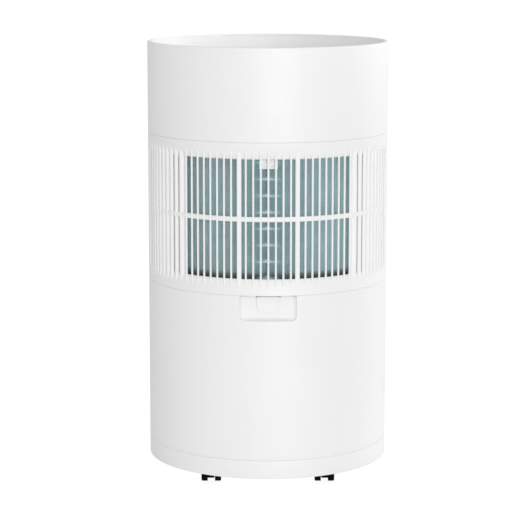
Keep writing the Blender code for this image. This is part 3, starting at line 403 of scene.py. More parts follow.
class Nodes:
    """A tree of shader nodes, and short ways to add to it."""

    def __init__(self, tree):
        self.tree = tree

    def add(self, kind, **values):
        return fill(self.tree.nodes.new(f"ShaderNode{kind}"), **values)

    def link(self, source, target):
        self.tree.links.new(source, target)

    def position(self):
        return self.add("TexCoord").outputs["Object"]

    def noise(self, scale, detail, rough=0.5):
        node = self.add("TexNoise", Scale=scale, Detail=detail, Roughness=rough)
        self.link(self.position(), node.inputs["Vector"])
        return node.outputs["Fac"]

    def axis(self, name):
        node = self.add("SeparateXYZ")
        self.link(self.position(), node.inputs["Vector"])
        return node.outputs[name]

    def spread(self, source, from_low, from_high, low, high):
        node = self.add("MapRange", From_Min=from_low, From_Max=from_high, To_Min=low, To_Max=high)
        self.link(source, node.inputs["Value"])
        return node.outputs["Result"]

    def product(self, first, second):
        node = self.add("Math")
        node.operation = "MULTIPLY"
        self.link(first, node.inputs[0])
        self.link(second, node.inputs[1])
        return node.outputs["Value"]

    def mix(self, kind, first, second, share):
        """Mixes colours. The second colour and the share are each an output or a value."""
        node = self.add("MixRGB")
        node.blend_type = kind
        self.link(first, node.inputs["Color1"])
        for name, value in (("Color2", second), ("Fac", share)):
            if isinstance(value, bpy.types.NodeSocket):
                self.link(value, node.inputs[name])
            else:
                node.inputs[name].default_value = value
        return node.outputs["Color"]


NOISE_LOW, NOISE_HIGH = 0.3, 0.7  # the part of a noise's range that carries most of it
DUST = (0.42, 0.40, 0.37, 1)
DUST_HEIGHT = 0.020  # above the skirt's edge


def material(name, **values):
    """A new material, its nodes and its shader."""
    made = bpy.data.materials.new(name)
    made.use_nodes = True
    return made, Nodes(made.node_tree), fill(made.node_tree.nodes["Principled BSDF"], **values)


def surface(
    name,
    colour,
    roughness,
    metallic=0.0,
    tint=0.03,
    tint_scale=9.0,
    grain=0.05,
    grain_scale=1400.0,
    rough_range=0.06,
    dust=0.0,
    **values,
):
    """A material with broad colour variation, uneven gloss and a fine moulded or rolled grain."""
    made, nodes, shader = material(name, Metallic=metallic, **values)
    ramp = nodes.add("ValToRGB")
    low, high = ramp.color_ramp.elements
    low.position, high.position = NOISE_LOW, NOISE_HIGH
    low.color = (*[value * (1 - tint) for value in colour], 1)
    high.color = (*[min(1, value * (1 + tint)) for value in colour], 1)
    nodes.link(nodes.noise(tint_scale, 3.0), ramp.inputs["Fac"])
    colour_out = ramp.outputs["Color"]
    if dust:
        spots = nodes.spread(nodes.noise(160.0, 6.0, 0.7), NOISE_LOW, NOISE_HIGH, 0.0, dust)
        fade = nodes.spread(nodes.axis("Z"), SKIRT_LOW, SKIRT_LOW + DUST_HEIGHT, 1.0, 0.0)
        colour_out = nodes.mix("MIX", colour_out, DUST, nodes.product(spots, fade))
    nodes.link(colour_out, shader.inputs["Base Color"])

    uneven = nodes.noise(tint_scale * 4, 5.0, 0.6)
    low, high = roughness - rough_range, roughness + rough_range
    nodes.link(nodes.spread(uneven, NOISE_LOW, NOISE_HIGH, low, high), shader.inputs["Roughness"])

    bump = nodes.add("Bump", Strength=grain, Distance=0.0004)
    nodes.link(nodes.noise(grain_scale, 2.0), bump.inputs["Height"])
    nodes.link(bump.outputs["Normal"], shader.inputs["Normal"])
    return made


WHITE = surface("white_plastic", (0.860, 0.860, 0.860), 0.42, tint=0.008, dust=0.05)
WHITE_GRILLE = surface("white_grille_plastic", (0.860, 0.860, 0.860), 0.45, tint=0.008)
WHITE_PIPE = surface("white_pipe_plastic", (0.80, 0.805, 0.81), 0.35, tint=0.02, grain=0.06)
SHEEN = {"Specular_IOR_Level": 0.01}
BLACK = surface("black_plastic", (0.004, 0.004, 0.0043), 0.45, tint=0.25, tint_scale=60, grain=0.2, **SHEEN)
TYRE = surface("black_tread", (0.005, 0.005, 0.0053), 0.60, tint=0.30, tint_scale=90, grain=0.35, **SHEEN)
PANEL = surface("panel_black", (0.020, 0.021, 0.023), 0.22, tint=0.15)
LENS = surface("dark_lens", (0.010, 0.012, 0.015), 0.08, rough_range=0.03, tint=0.2, grain=0, Coat_Weight=0.6)
GREY = surface("grey_plastic", (0.24, 0.25, 0.26), 0.50, tint=0.06, grain=0.15)
BUTTON = surface("button_plastic", (0.70, 0.71, 0.72), 0.38, tint_scale=80, grain=0.06)
BOARD = surface("circuit_board", (0.03, 0.16, 0.07), 0.40, tint=0.35, tint_scale=140, grain=0.30)
THREAD = surface("filter_thread", (0.40, 0.46, 0.47), 0.70, tint=0.10, grain=0.10)
FOAM = surface("white_foam", (0.80, 0.80, 0.78), 0.85, tint=0.05, tint_scale=60, grain=0.8, grain_scale=420)
RUBBER = surface("rubber", (0.030, 0.030, 0.031), 0.72, tint=0.20, tint_scale=70, grain=0.30)
STEEL = surface("steel", (0.60, 0.60, 0.61), 0.28, 1.0, tint=0.08, tint_scale=120, grain=0.10)
ZINC = surface("zinc_plate", (0.55, 0.56, 0.58), 0.38, 1.0, tint=0.15, tint_scale=40, grain=0.12)
COPPER = surface("copper", (0.72, 0.36, 0.22), 0.30, 1.0, tint=0.25, tint_scale=30, grain=0.10)
TEAL = surface("coated_fins", (0.68, 0.84, 0.86), 0.45, tint=0.06, tint_scale=40)


def paint_coil_shade_and_glow(made):
    """Paints shade on the coil's foot, darker towards the bottom where the grille's sill shades it, and adds
    a painted glow to the plates, stronger towards +X.
    """
    nodes = Nodes(made.node_tree)
    # painted light: the plates glow in this pale cyan, though they are no lamp
    shader = fill(made.node_tree.nodes["Principled BSDF"], Emission_Color=(0.72, 0.99, 1.0, 1))
    # painted shade: the coil's colour falls to 0.12 times its own at the foot
    foot = nodes.spread(nodes.axis("Z"), COIL_FOOT, COIL_FOOT + COIL_FOOT_FADE, 0.12, 1.0)
    base = shader.inputs["Base Color"]
    nodes.link(nodes.mix("MULTIPLY", base.links[0].from_socket, foot, 1.0), base)
    # painted light: the glow grows towards +X and fades out with the painted shade at the foot
    glow = nodes.spread(nodes.axis("X"), -0.13, 0.12, 0.029, 0.064)
    nodes.link(nodes.product(glow, foot), shader.inputs["Emission Strength"])


paint_coil_shade_and_glow(TEAL)
# painted light: the tube collars glow, standing in for highlights along the tubes
PAINTED_GLOW = {"Emission_Color": (0.72, 0.96, 1.0, 1), "Emission_Strength": 0.40}
TUBE = surface("tube_collars", (0.80, 0.92, 0.94), 0.35, tint=0.04, tint_scale=90, **PAINTED_GLOW)
BARE = surface("bare_fins", (0.62, 0.63, 0.64), 0.36, 0.8, tint=0.08, tint_scale=40)
PAINT = surface("compressor_paint", (0.030, 0.030, 0.033), 0.40, tint=0.25, tint_scale=25, grain=0.25)


# ---- casing ----
def make_base_pan():
    inner = RADIUS - SKIRT_WALL
    spigot = high_of("base_pan").z
    ribs = []
    for radius in PAN_RIB_RADII:
        ribs += [(radius, PAN_LOW), (radius, PAN_RIB_LOW)]
        ribs += [(radius - PAN_RIB_WIDTH, PAN_RIB_LOW), (radius - PAN_RIB_WIDTH, PAN_LOW)]
    skirt = [(inner, SKIRT_HIGH), (RADIUS, SKIRT_HIGH), (RADIUS, SKIRT_LOW), (inner, SKIRT_LOW)]
    top = [(0.0, PAN_HIGH), (inner - 0.003, PAN_HIGH), (inner - 0.003, spigot)]
    ledge = [(inner - 0.001, spigot), (inner - 0.001, SKIRT_HIGH)]
    skirt = fillet(skirt, [0, SEAM_EDGE, 0.0016, 0], 5)
    profile = [*top, *ledge, *skirt, (inner, PAN_LOW), *ribs, (0.0, PAN_LOW)]
    pan = shape("base_pan_shell", lambda work: revolve(work, profile), WHITE)
    hole = at_node("drain_plug", RADIUS)
    combine(pan, lambda work: revolve(work, bore(DRAIN_BORE, 0.03), 24, matrix=hole))
    piece(pan, "cabinet", "white_plastic", "base_pan")
    mouth = fillet([(0.0070, 0.0), (0.0115, 0.0), (0.0115, -0.0225)], 0.0008)
    spout = [(DRAIN_BORE, -0.020), (DRAIN_BORE, 0.0), *mouth, (DRAIN_BORE, -0.0225)]
    where = at_node("drain_plug", SPOUT_REACH)
    obj = shape("drain_spout", lambda work: revolve(work, spout, 48, closed=True, matrix=where), WHITE)
    piece(obj, "cabinet", "white_plastic")


def pocket_depth(x, z):
    """How far the pocket is sunk at a place on the casing, from 0 outside it to 1 on its floor."""
    across = abs(x) - (POCKET_HALF_WIDTH - POCKET_CORNER)
    down = (POCKET_LOW + POCKET_CORNER) - z
    outside = math.hypot(max(across, 0.0), max(down, 0.0)) + min(max(across, down), 0.0) - POCKET_CORNER
    t = min(max(-outside / POCKET_SLOPE, 0.0), 1.0)
    return math.sqrt(1 - (1 - t) ** 2)


def dense(low, high, coarse, bands=()):
    """Places along a line, coarse except in bands of (low, high, step)."""
    places = {low, high}
    steps = max(1, round((high - low) / coarse))
    for index in range(1, steps):
        value = low + (high - low) * index / steps
        if all(not band[0] < value < band[1] for band in bands):
            places.add(value)
    for band_low, band_high, step in bands:
        count = round((band_high - band_low) / step)
        for index in range(count + 1):
            places.add(band_low + (band_high - band_low) * index / count)
    return sorted(places)


def make_front_casing():
    """A half cylinder whose wall dips smoothly into the latch pocket, with turned-in edges."""
    steps = [POCKET_SLOPE * (1 - math.cos(math.radians(angle))) for angle in range(0, 91, 6)]
    steps += [POCKET_SLOPE + 0.0007, POCKET_CORNER]
    sides = [sign * (POCKET_HALF_WIDTH - step) for step in steps for sign in (-1, 1)]
    sides += [sign * (POCKET_HALF_WIDTH + step) for step in (0.0004, 0.0012) for sign in (-1, 1)]
    plain = [x for x in dense(-0.050, 0.050, 0.003) if abs(abs(x) - POCKET_HALF_WIDTH) > 0.0012]
    middle = sorted(set(sides) | {x for x in plain if not 0.0345 < abs(x) < POCKET_HALF_WIDTH})
    columns = [math.degrees(math.asin(x / RADIUS)) for x in middle]
    left = dense(-FRONT_END, columns[0] - 1.0, 1.6)
    right = dense(columns[-1] + 1.0, FRONT_END, 1.6)
    columns = left + columns + right
    below = dense(CASING_LOW + SEAM_EDGE, POCKET_LOW - 0.0012, 0.008)
    above = dense(POCKET_LOW + POCKET_CORNER + 0.001, CASING_HIGH - SEAM_EDGE, 0.002)
    heights = below + [POCKET_LOW - 0.0004] + [POCKET_LOW + step for step in steps] + above
    near = SEAM_EDGE * 0.3
    foot = [(CASING_LOW, WALL), (CASING_LOW, SEAM_EDGE), (CASING_LOW + near, near)]
    head = [(CASING_HIGH - near, near), (CASING_HIGH, SEAM_EDGE), (CASING_HIGH, WALL)]
    places = [*foot, *((z, 0.0) for z in heights), *head]

    def point(azimuth, z, inset):
        outer = polar(RADIUS - inset, azimuth, z)
        if abs(azimuth) < 20:
            depth = pocket_depth(outer.x, z)
            outer.y += depth * (POCKET_FLOOR_Y + inset - outer.y)
            near_top = max(0.0, 1 - (CASING_HIGH - z) / TOP_GAP_FADE)
            gap = TAB_TOP_GAP if abs(outer.x) < TAB_SLIT_HALF else POCKET_TOP_GAP
            outer.z -= gap * depth * near_top
        return outer

    def build(work):
        rows = [[point(azimuth, z, inset) for z, inset in places] for azimuth in columns]
        for end in (0, -1):
            edge = [Vector((p.x * (1 - WALL / RADIUS), p.y, p.z)) for p in rows[end]]
            rows.insert(0 if end == 0 else len(rows), edge)
        loft(work, rows)

    casing = shape("lower_front_shell", build, WHITE, sharp=60)
    piece(casing, "cabinet", "white_plastic", "lower_front_casing")


def make_latch_tab():
    """The U-shaped press tab, with a rounded edge."""
    low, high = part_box("latch_tab")
    half = (high.x - low.x) / 2
    top = high.z + 0.0001
    outline = fillet([(-half, top), (-half, low.z), (half, low.z), (half, top)], [0, 0.0095, 0.0095, 0], 8)
    turn = turned(90, "X")

    def build(work):
        slab(work, outline, -high.y, -low.y, turn)

    tab = shape("latch_tab_shell", build, WHITE, edge=0.0012, edge_steps=5)
    piece(tab, "latch", "white_plastic", "latch_tab")


def make_rear_casing():
    low, high = CASING_LOW, GRILLE_HIGH
    inner = RADIUS - WALL
    corners = [(inner, low), (RADIUS, low), (RADIUS, high), (inner, high)]
    profile = fillet(corners, [0, SEAM_EDGE, SEAM_EDGE, 0], 3)

    def half(work):
        revolve(work, profile, 120, REAR_END, 360 - REAR_END, closed=True)

    casing = shape("rear_shell", half, WHITE)
    opening = [(0.0, 0.20), (PORT_HOLE, 0.20), (PORT_HOLE, 0.15), (0.0, 0.15)]
    combine(casing, lambda work: revolve(work, opening, 96, matrix=PORT_PLACE))
    wall = PORT_RING - 0.0035
    seat = PORT_FRONT + 0.0030
    outside = [(PORT_SEAT, PORT_FRONT), (PORT_RING, PORT_FRONT), (PORT_RING, PORT_RIM)]
    inside = [(wall + 0.0010, PORT_RIM), (wall, PORT_RIM - 0.0010), (wall, seat), (PORT_SEAT, seat)]
    ring = fillet(outside + inside, [0, 0, 0.0014, 0, 0, 0.0015, 0.0006], 5, closed=True)
    port = shape("port_ring", lambda work: revolve(work, ring, 96, closed=True, matrix=PORT_PLACE), WHITE)
    piece(port, "cabinet", "white_plastic")

    def slots(work):
        outline = rectangle(SLOT_HALF_WIDTH, SLOT_HALF_HEIGHT, SLOT_HALF_WIDTH - 0.0001, 5)
        for index in range(-SLOTS_A_SIDE, SLOTS_A_SIDE + 1):
            slab(work, outline, -0.012, 0.012, facing(180 + index * FIN_PITCH, RADIUS, SLOT_MIDDLE))

    combine(casing, slots)
    hole = at_node("cord_gland", RADIUS)
    combine(casing, lambda work: revolve(work, bore(GLAND_BORE, 0.02), 32, matrix=hole))
    piece(casing, "cabinet", "white_plastic", "rear_casing")


def make_top_collar():
    inner = RADIUS - COLLAR_WALL
    bowl = RADIUS - RIM_WIDTH
    outside = [(inner, COLLAR_LOW), (RADIUS, COLLAR_LOW), (RADIUS, RIM), (bowl, RIM)]
    inside = [(bowl, RIM - COLLAR_WALL), (inner, RIM - COLLAR_WALL)]
    profile = fillet(outside + inside, [0, SEAM_EDGE, 0.0024, 0.0020, 0, 0], 6)
    collar = shape("top_collar_shell", lambda work: revolve(work, profile, 256, closed=True), WHITE)
    piece(collar, "cabinet", "white_plastic", "top_collar")


# ---- grille ----
def grille_radius(azimuth, z):
    """The sunk shell behind the fins: it slopes in from both seams and grows shallow towards the sides."""
    edge = min(z - GRILLE_LOW, GRILLE_HIGH - z)
    t = min(max((edge - RAMP_FOOT) / RAMP_HEIGHT, 0.0), 1.0)
    side = min(max((abs(azimuth) - SHALLOW_FROM) / (FLUSH_FROM - SHALLOW_FROM), 0.0), 1.0)
    return RADIUS - (RADIUS - SUNK_RADIUS) * (1 - SHALLOWING * side) * t**1.4


def crease_depth(azimuth, z):
    """How far back the shell goes at a crease. It is as tall as the window."""
    off = min(abs(abs(azimuth) - middle) for middle in CREASES)
    inside = off < CREASE_HALF_ANGLE - CREASE_WALL / 2 and WINDOW_LOW <= z <= WINDOW_HIGH
    return CREASE_DEPTH if inside else 0.0


def grille_shell(work):
    """The shell and its window, each wall with its thickness."""
    foot = GRILLE_LOW + RAMP_FOOT
    ramp = [GRILLE_LOW, GRILLE_LOW + SEAM_EDGE, foot]
    ramp += [foot + RAMP_HEIGHT * (index + 1) / RAMP_STEPS for index in range(RAMP_STEPS)]
    ramp = [z for z in ramp if z < WINDOW_LOW - 0.0003]
    mirrored = [GRILLE_LOW + GRILLE_HIGH - z for z in reversed(ramp)]
    heights = [*ramp, WINDOW_LOW, WINDOW_HIGH, *mirrored]
    bands = [(-FLUSH_FROM, -FLUSH_FROM + 0.6, 0.6), (FLUSH_FROM - 0.6, FLUSH_FROM, 0.6)]
    azimuths = dense(-FRONT_END, FRONT_END, 1.75, bands)
    azimuths += [-WINDOW_HALF_ANGLE, WINDOW_HALF_ANGLE]
    floor = CREASE_HALF_ANGLE - CREASE_WALL
    for middle in CREASES:
        for off in (-CREASE_HALF_ANGLE, -floor, floor, CREASE_HALF_ANGLE):
            azimuths += [-middle - off, middle + off]
    azimuths = sorted(set(azimuths))

    def at(azimuth, z):
        radius = RADIUS if abs(azimuth) >= FLUSH_FROM - 0.01 else grille_radius(azimuth, z)
        edge = min(z - GRILLE_LOW, GRILLE_HIGH - z)
        lip = max(0.0, SEAM_EDGE - edge)
        return polar(radius - lip, azimuth, z) + Vector((0, crease_depth(azimuth, z), 0))

    for left, right in zip(azimuths, azimuths[1:]):
        for bottom, top in zip(heights, heights[1:]):
            across = abs(left + right) / 2 < WINDOW_HALF_ANGLE
            if across and bottom >= WINDOW_LOW and top <= WINDOW_HIGH:
                continue
            corners = [at(left, bottom), at(right, bottom), at(right, top), at(left, top)]
            work.faces.new([work.verts.new(corner) for corner in corners])


def nose(width, depth, length):
    """The plan of a fin from its rounded front at 0 back to its depth."""
    half = width / 2
    front = []
    for step in range(9):
        angle = math.pi * step / 8
        front.append((-half * math.cos(angle), length * (1 - math.sin(angle))))
    return [*front, (half, depth), (-half, depth)]


def fin(work, azimuth, width):
    """An upright fin that faces the front. Its sides run back along Y, far enough to meet the shell."""
    angle = math.radians(abs(azimuth))
    set_back = FIN_SET_BACK * math.cos(angle) + width / 2 * math.sin(angle)
    depth = min(FIN_DEPTH / math.cos(angle), FIN_MOST_DEPTH)
    stand = Matrix.Translation(polar(RADIUS - set_back, azimuth))
    slab(work, nose(width, depth, NOSE), GRILLE_LOW + FIN_END_GAP, GRILLE_HIGH - FIN_END_GAP, stand)


def make_grille():
    def fins(work):
        for index in range(-LAST_BLIND_FIN, LAST_BLIND_FIN + 1):
            azimuth = index * FIN_PITCH
            if abs(index) == THICK_FIN:
                fin(work, azimuth - math.copysign(THICK_FIN_SHIFT, index), THICK_FIN_WIDTH)
            elif abs(index) == FRAME_FIN:
                fin(work, azimuth - math.copysign(FRAME_FIN_SHIFT, index), FRAME_FIN_WIDTH)
            elif abs(index) <= OPEN_FINS:
                fin(work, azimuth, FIN_WIDTH)
            else:
                fin(work, azimuth, BLIND_FIN_WIDTH * math.cos(math.radians(azimuth)))

    def bar(work):
        low, high = BAR_MIDDLE - BAR_HALF_HEIGHT, BAR_MIDDLE + BAR_HALF_HEIGHT
        front = RADIUS - BAR_SET_BACK
        outline = [(front - BAR_DEPTH, low), (front, low), (front, high), (front - BAR_DEPTH, high)]
        profile = fillet(outline, [0, 0.0014, 0.0014, 0])
        end = LAST_BLIND_FIN * FIN_PITCH
        revolve(work, profile, 96, -end, end, closed=True)

    def guides(work):
        low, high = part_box("filter_frame")
        inner = FILTER_RADIUS + 0.0003
        for azimuth in (1.5 - FILTER_HALF_ANGLE, FILTER_HALF_ANGLE - 1.5):
            corner = (-0.002, -SUNK_RADIUS + 0.001, low.z)
            block(work, corner, (0.002, -inner, high.z), turned(azimuth))

    shell = shape("grille_shell", grille_shell, WHITE_GRILLE, sharp=40)
    wall = shell.modifiers.new("wall", "SOLIDIFY")
    wall.thickness = WALL
    wall.offset = -1.0
    piece(shell, "grille_panel", "white_plastic", "intake_grille")
    for name, build in (("grille_fins", fins), ("grille_bar", bar), ("grille_guides", guides)):
        piece(shape(name, build, WHITE_GRILLE), "grille_panel", "white_plastic")


def make_filter():
    low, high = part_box("filter_frame")
    outer, reach = FILTER_RADIUS, FILTER_HALF_ANGLE
    inner = outer - FILTER_RIM_DEPTH
    open_low, open_high = low.z + FILTER_RIM_HEIGHT, high.z - FILTER_RIM_HEIGHT

    def frame_bars(work):
        for z_low, z_high in ((low.z, open_low), (open_high, high.z)):
            outline = [(inner, z_low), (outer, z_low), (outer, z_high), (inner, z_high)]
            revolve(work, fillet(outline, 0.0005, 2, closed=True), 48, -reach, reach, closed=True)
        for azimuth in (-reach + 0.8, reach - 0.8):
            corner = (-0.0024, -outer, low.z + 0.003)
            block(work, corner, (0.0024, -inner, high.z - 0.003), turned(azimuth))

    piece(shape("filter_rim", frame_bars, WHITE_GRILLE), "grille_panel", "white_plastic", "filter_frame")

    def tab(work):
        corner = (-FILTER_TAB_HALF_WIDTH, -outer - FILTER_TAB_REACH, FILTER_TAB_LOW)
        block(work, corner, (FILTER_TAB_HALF_WIDTH, -outer + 0.0012, FILTER_TAB_HIGH))

    obj = shape("filter_tab", tab, WHITE_GRILLE)

    def dimples(work):
        for x in (-0.0057, 0.0057):
            for z in (0.5050, 0.5112):
                spot = moved(x, -outer - FILTER_TAB_REACH - 0.0001, z)
                bmesh.ops.create_uvsphere(work, u_segments=16, v_segments=8, radius=0.0016, matrix=spot)

    combine(obj, dimples)
    piece(obj, "grille_panel", "white_plastic")

    def threads(work):
        radius = outer - 0.0019
        half = THREAD_HALF
        span = reach - 1.6
        for index in range(UPRIGHT_THREADS):
            azimuth = -span + 2 * span * index / (UPRIGHT_THREADS - 1)
            corner = (-half, -radius - half, open_low)
            block(work, corner, (half, -radius + half, open_high), turned(azimuth))
        for index in range(LEVEL_THREADS):
            z = open_low + (open_high - open_low) * (index + 1) / (LEVEL_THREADS + 1)
            outline = [(radius - half, z - half), (radius + half, z - half), (radius + half, z + half)]
            revolve(work, [*outline, (radius - half, z + half)], 30, -span, span, closed=True)

    piece(shape("filter_threads", threads, THREAD), "grille_panel", "filter_mesh", "filter_screen")


# ---- heat exchangers ----
def make_coil(node, centre, first_tube, tubes, tube_radius, finishes):
    """Thin upright plates in a bent stack, with two rows of tube through them and bends at both ends."""
    low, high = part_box(node)
    plate_finish, plate_slot, pipe_finish, pipe_slot = finishes

    def plates(work):
        stack = math.radians(2 * COIL_HALF_ANGLE) * (COIL_INNER + COIL_OUTER) / 2
        count = int(stack / PLATE_PITCH)
        for index in range(count + 1):
            azimuth = centre + COIL_HALF_ANGLE * (2 * index / count - 1)
            corner = (-PLATE_HALF, -COIL_OUTER, low.z)
            block(work, corner, (PLATE_HALF, -COIL_INNER, high.z), turned(azimuth))

    def pipes(work):
        middle, half = (OUTER_ROW + INNER_ROW) / 2, (OUTER_ROW - INNER_ROW) / 2
        for index in range(tubes):
            z = first_tube + index * TUBE_PITCH
            for radius in (OUTER_ROW, INNER_ROW):
                azimuths = [centre + TUBES_START * (step / 20 - 1) for step in range(41)]
                sweep(work, [polar(radius, azimuth, z) for azimuth in azimuths], tube_radius, 10)
            for side in (-1, 1):
                bend = []
                for step in range(9):
                    angle = math.pi * step / 8
                    azimuth = centre + side * (TUBES_START + BEND_REACH * math.sin(angle))
                    bend.append(polar(middle + half * math.cos(angle), azimuth, z))
                sweep(work, bend, tube_radius, 10)

    piece(shape(f"{node}_plates", plates, plate_finish), "cabinet", plate_slot, node)
    piece(shape(f"{node}_tubes", pipes, pipe_finish), "cabinet", pipe_slot)


# ---- top ----
def make_deck():
    """The sunk top, with the throat of the outlet below it, a lip round that and an opening for the panel."""
    outer = RADIUS - COLLAR_WALL - 0.0004
    inner = RADIUS - RIM_WIDTH
    top = high_of("top_deck").z + SEAM_CLOSED
    outline = [(0.0, DECK_HIGH), (inner, DECK_HIGH), (inner, top), (outer, top), (outer, DECK_LOW)]
    profile = fillet([*outline, (0.0, DECK_LOW)], [0, 0.0075, 0.0008, 0.0008, 0.001, 0], 8)
    deck = shape("top_deck_shell", lambda work: revolve(work, profile), WHITE)
    first, last = low_of("outlet_blade_1").y, high_of("outlet_blade_3").y
    middle = (first + last) / 2
    half_x = OUTLET_HALF_LENGTH
    half_y = (last - first) / 2 + 0.0008
    ledge = Vector((PANEL_LEDGE, PANEL_LEDGE, 0))
    panel_low, panel_high = low_of("control_panel") + ledge, high_of("control_panel") - ledge

    def throat(work):
        corner = (-half_x - WALL, middle - half_y - WALL, THROAT_LOW)
        block(work, corner, (half_x + WALL, middle + half_y + WALL, DECK_LOW + 0.0010))

    def lip(work):
        outline = rectangle(half_x + OUTLET_LIP, half_y + OUTLET_LIP, 0.0040)
        slab(work, outline, DECK_HIGH - 0.001, DECK_HIGH + 0.0010, moved(0, middle))

    def holes(work):
        low, high = THROAT_LOW - 0.02, DECK_HIGH + 0.02
        block(work, (-half_x, middle - half_y, low), (half_x, middle + half_y, high))
        block(work, (panel_low.x, panel_low.y, low), (panel_high.x, panel_high.y, high))

    combine(deck, throat, "UNION")
    combine(deck, lip, "UNION")
    combine(deck, holes)
    piece(deck, "cabinet", "white_plastic", "top_deck")


def make_blades():
    """Three crowned slats, each on two pins."""
    length = BLADE_HALF_LENGTH
    for index in (1, 2, 3):
        low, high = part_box(f"outlet_blade_{index}")
        middle = (low.y + high.y) / 2
        half = (high.y - low.y) / 2
        pivot = low.z + BLADE_PIN_RADIUS

        def build(work, middle=middle, half=half, pivot=pivot, top=high.z):
            section = []
            for step in range(17):
                t = -1 + 2 * step / 16
                section.append((middle + half * t, top - 0.0001 - 0.0011 * t * t))
            for step in range(17):
                t = 1 - 2 * step / 16
                section.append((middle + half * t, top - 0.0022 - 0.0006 * (1 - t * t)))
            outline = fillet(section, 0.0004, 1, closed=True)
            rows = []
            for x in (-length, -length + 0.0006, length - 0.0006, length):
                shrink = 0.0004 if abs(x) == length else 0.0
                rows.append([Vector((x, y, z - shrink)) for y, z in outline])
            cap(work, loft(work, rows, close_points=True))
            for side in (-1, 1):
                pin = [Vector((side * x, middle, pivot)) for x in (length - 0.004, length + 0.0022)]
                sweep(work, pin, BLADE_PIN_RADIUS, 16)
                lug = [(middle - 0.0030, pivot - 0.0012), (middle + 0.0030, pivot - 0.0012)]
                lug += [(middle + 0.0060, pivot + 0.0024), (middle - 0.0060, pivot + 0.0024)]
                ends = sorted((side * (length - 0.0030), side * length))
                slab(work, lug, ends[0], ends[1], ALONG_X)

        blade = shape(f"outlet_slat_{index}", build, WHITE)
        piece(blade, f"blade_{index}", "white_plastic", f"outlet_blade_{index}")


def make_controls():
    low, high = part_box("control_panel")
    centre = middle_of("control_panel")
    half = (high - low) / 2
    buttons = ("power", "mode", "speed", "down", "up")
    lens_low, lens_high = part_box("display_lens")

    def plate(work):
        slab(work, rectangle(half.x, half.y, 0.010), low.z, high.z, moved(centre.x, centre.y))

    panel = shape("control_plate", plate, PANEL)

    def openings(work):
        for name in buttons:
            middle = middle_of(f"button_{name}")
            hole = moved(middle.x, middle.y, centre.z)
            revolve(work, bore(BUTTON_HOLE, half.z + 0.01), 40, matrix=hole)
        corner = (lens_low.x - LENS_GAP, lens_low.y - LENS_GAP, low.z - 0.01)
        block(work, corner, (lens_high.x + LENS_GAP, lens_high.y + LENS_GAP, high.z + 0.01))

    combine(panel, openings)
    bevel = panel.modifiers.new("edge", "BEVEL")
    bevel.width = 0.0005
    bevel.segments = 2
    bevel.limit_method = "ANGLE"
    piece(panel, "cabinet", "black_plastic", "control_panel")

    lens = shape("display_window", lambda work: block(work, lens_low, lens_high), LENS, edge=0.0006)
    piece(lens, "cabinet", "dark_lens", "display_lens")

    for name in buttons:
        foot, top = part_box(f"button_{name}")
        middle = middle_of(f"button_{name}")
        radius = (top.x - foot.x) / 2
        dish = [(0.0, top.z - 0.0007), (radius * 0.45, top.z - 0.0006), (radius * 0.78, top.z - 0.0001)]
        side = [(radius * 0.86, top.z), (radius, top.z), (radius, foot.z), (0.0, foot.z)]
        side = fillet(side, [0, 0.0007, 0, 0])
        where = moved(middle.x, middle.y)

        def build(work, profile=(*dish, *side), where=where):
            revolve(work, profile, 48, matrix=where)

        piece(shape(f"{name}_cap", build, BUTTON), f"{name}_button", "button_plastic", f"button_{name}")

    def lights(work):
        for index in range(5):
            spot = moved(lens_low.x - 0.0140, lens_low.y + 0.004 * index, high.z - 0.0004)
            bmesh.ops.create_uvsphere(work, u_segments=12, v_segments=8, radius=0.0009, matrix=spot)

    piece(shape("indicator_lights", lights, BUTTON), "cabinet", "button_plastic")


# ---- back ----
def make_fittings():
    low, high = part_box("exhaust_collar")
    outer = (high.x - low.x) / 2
    inner = outer - WALL
    outline = [(inner, low.y), (outer, low.y), (outer, high.y), (inner, high.y)]
    profile = fillet(outline, [0, 0, 0.0009, 0.0009], closed=True)
    foot, top = outer - 0.0005, outer + 0.0012
    lug = [(foot, 0.1790), (top, 0.1790), (top, 0.1812), (foot, 0.1812)]

    def collar(work):
        revolve(work, profile, 128, closed=True, matrix=PORT_PLACE)
        for azimuth in (45, 135, 225, 315):
            revolve(work, lug, 10, azimuth - 9, azimuth + 9, closed=True, matrix=PORT_PLACE)

    piece(shape("exhaust_pipe", collar, WHITE_PIPE), "cabinet", "white_plastic", "exhaust_collar")

    flange = [(0.0040, 0.0050), (0.0104, 0.0050), (0.0104, 0.0003), (DRAIN_BORE, 0.0003)]
    plug = [(0.0052, 0.0), (0.0052, -0.0040), (0.0046, -0.0050), (0.0050, -0.0090), (0.0042, -0.0150)]
    stopper = [(0.0, 0.0046), *fillet(flange, 0.0010), *fillet(plug, 0.0005), (0.0, -0.0150)]
    drain = at_node("drain_plug", SPOUT_REACH, DRAIN_AZIMUTH)
    body = shape("drain_stopper", lambda work: revolve(work, stopper, 48, matrix=drain), RUBBER)
    piece(body, "plug", "rubber", "drain_plug")

    sleeve = [(0.0078, 0.0003), (0.0078, -0.0120), (0.0042, -0.0120), (0.0042, 0.0060)]
    cone = [(0.0060, 0.0060), (0.0080, 0.0050), (0.0109, 0.0028), (0.0109, 0.0003)]
    bush = [*fillet(cone, 0.0006), *sleeve]
    gland = at_node("cord_gland", RADIUS, GLAND_AZIMUTH)
    body = shape("cord_bush", lambda work: revolve(work, bush, 48, closed=True, matrix=gland), RUBBER)
    piece(body, "cabinet", "rubber", "cord_gland")

    socket = [(0.0, 0.0002), (0.0011, 0.0004), (0.0013, 0.0012)]
    dome = fillet([(0.0015, 0.0012), (0.0022, 0.0012), (0.0034, 0.0007), (0.0036, -0.0010)], 0.0004)

    def screws(work):
        for azimuth in SCREW_AZIMUTHS:
            for z in SCREW_HEIGHTS:
                where = facing(azimuth, RADIUS - 0.0004, z)
                revolve(work, [*socket, *dome, (0.0, -0.0010)], 24, matrix=where)

    piece(shape("rear_screws", screws, STEEL), "cabinet", "steel")


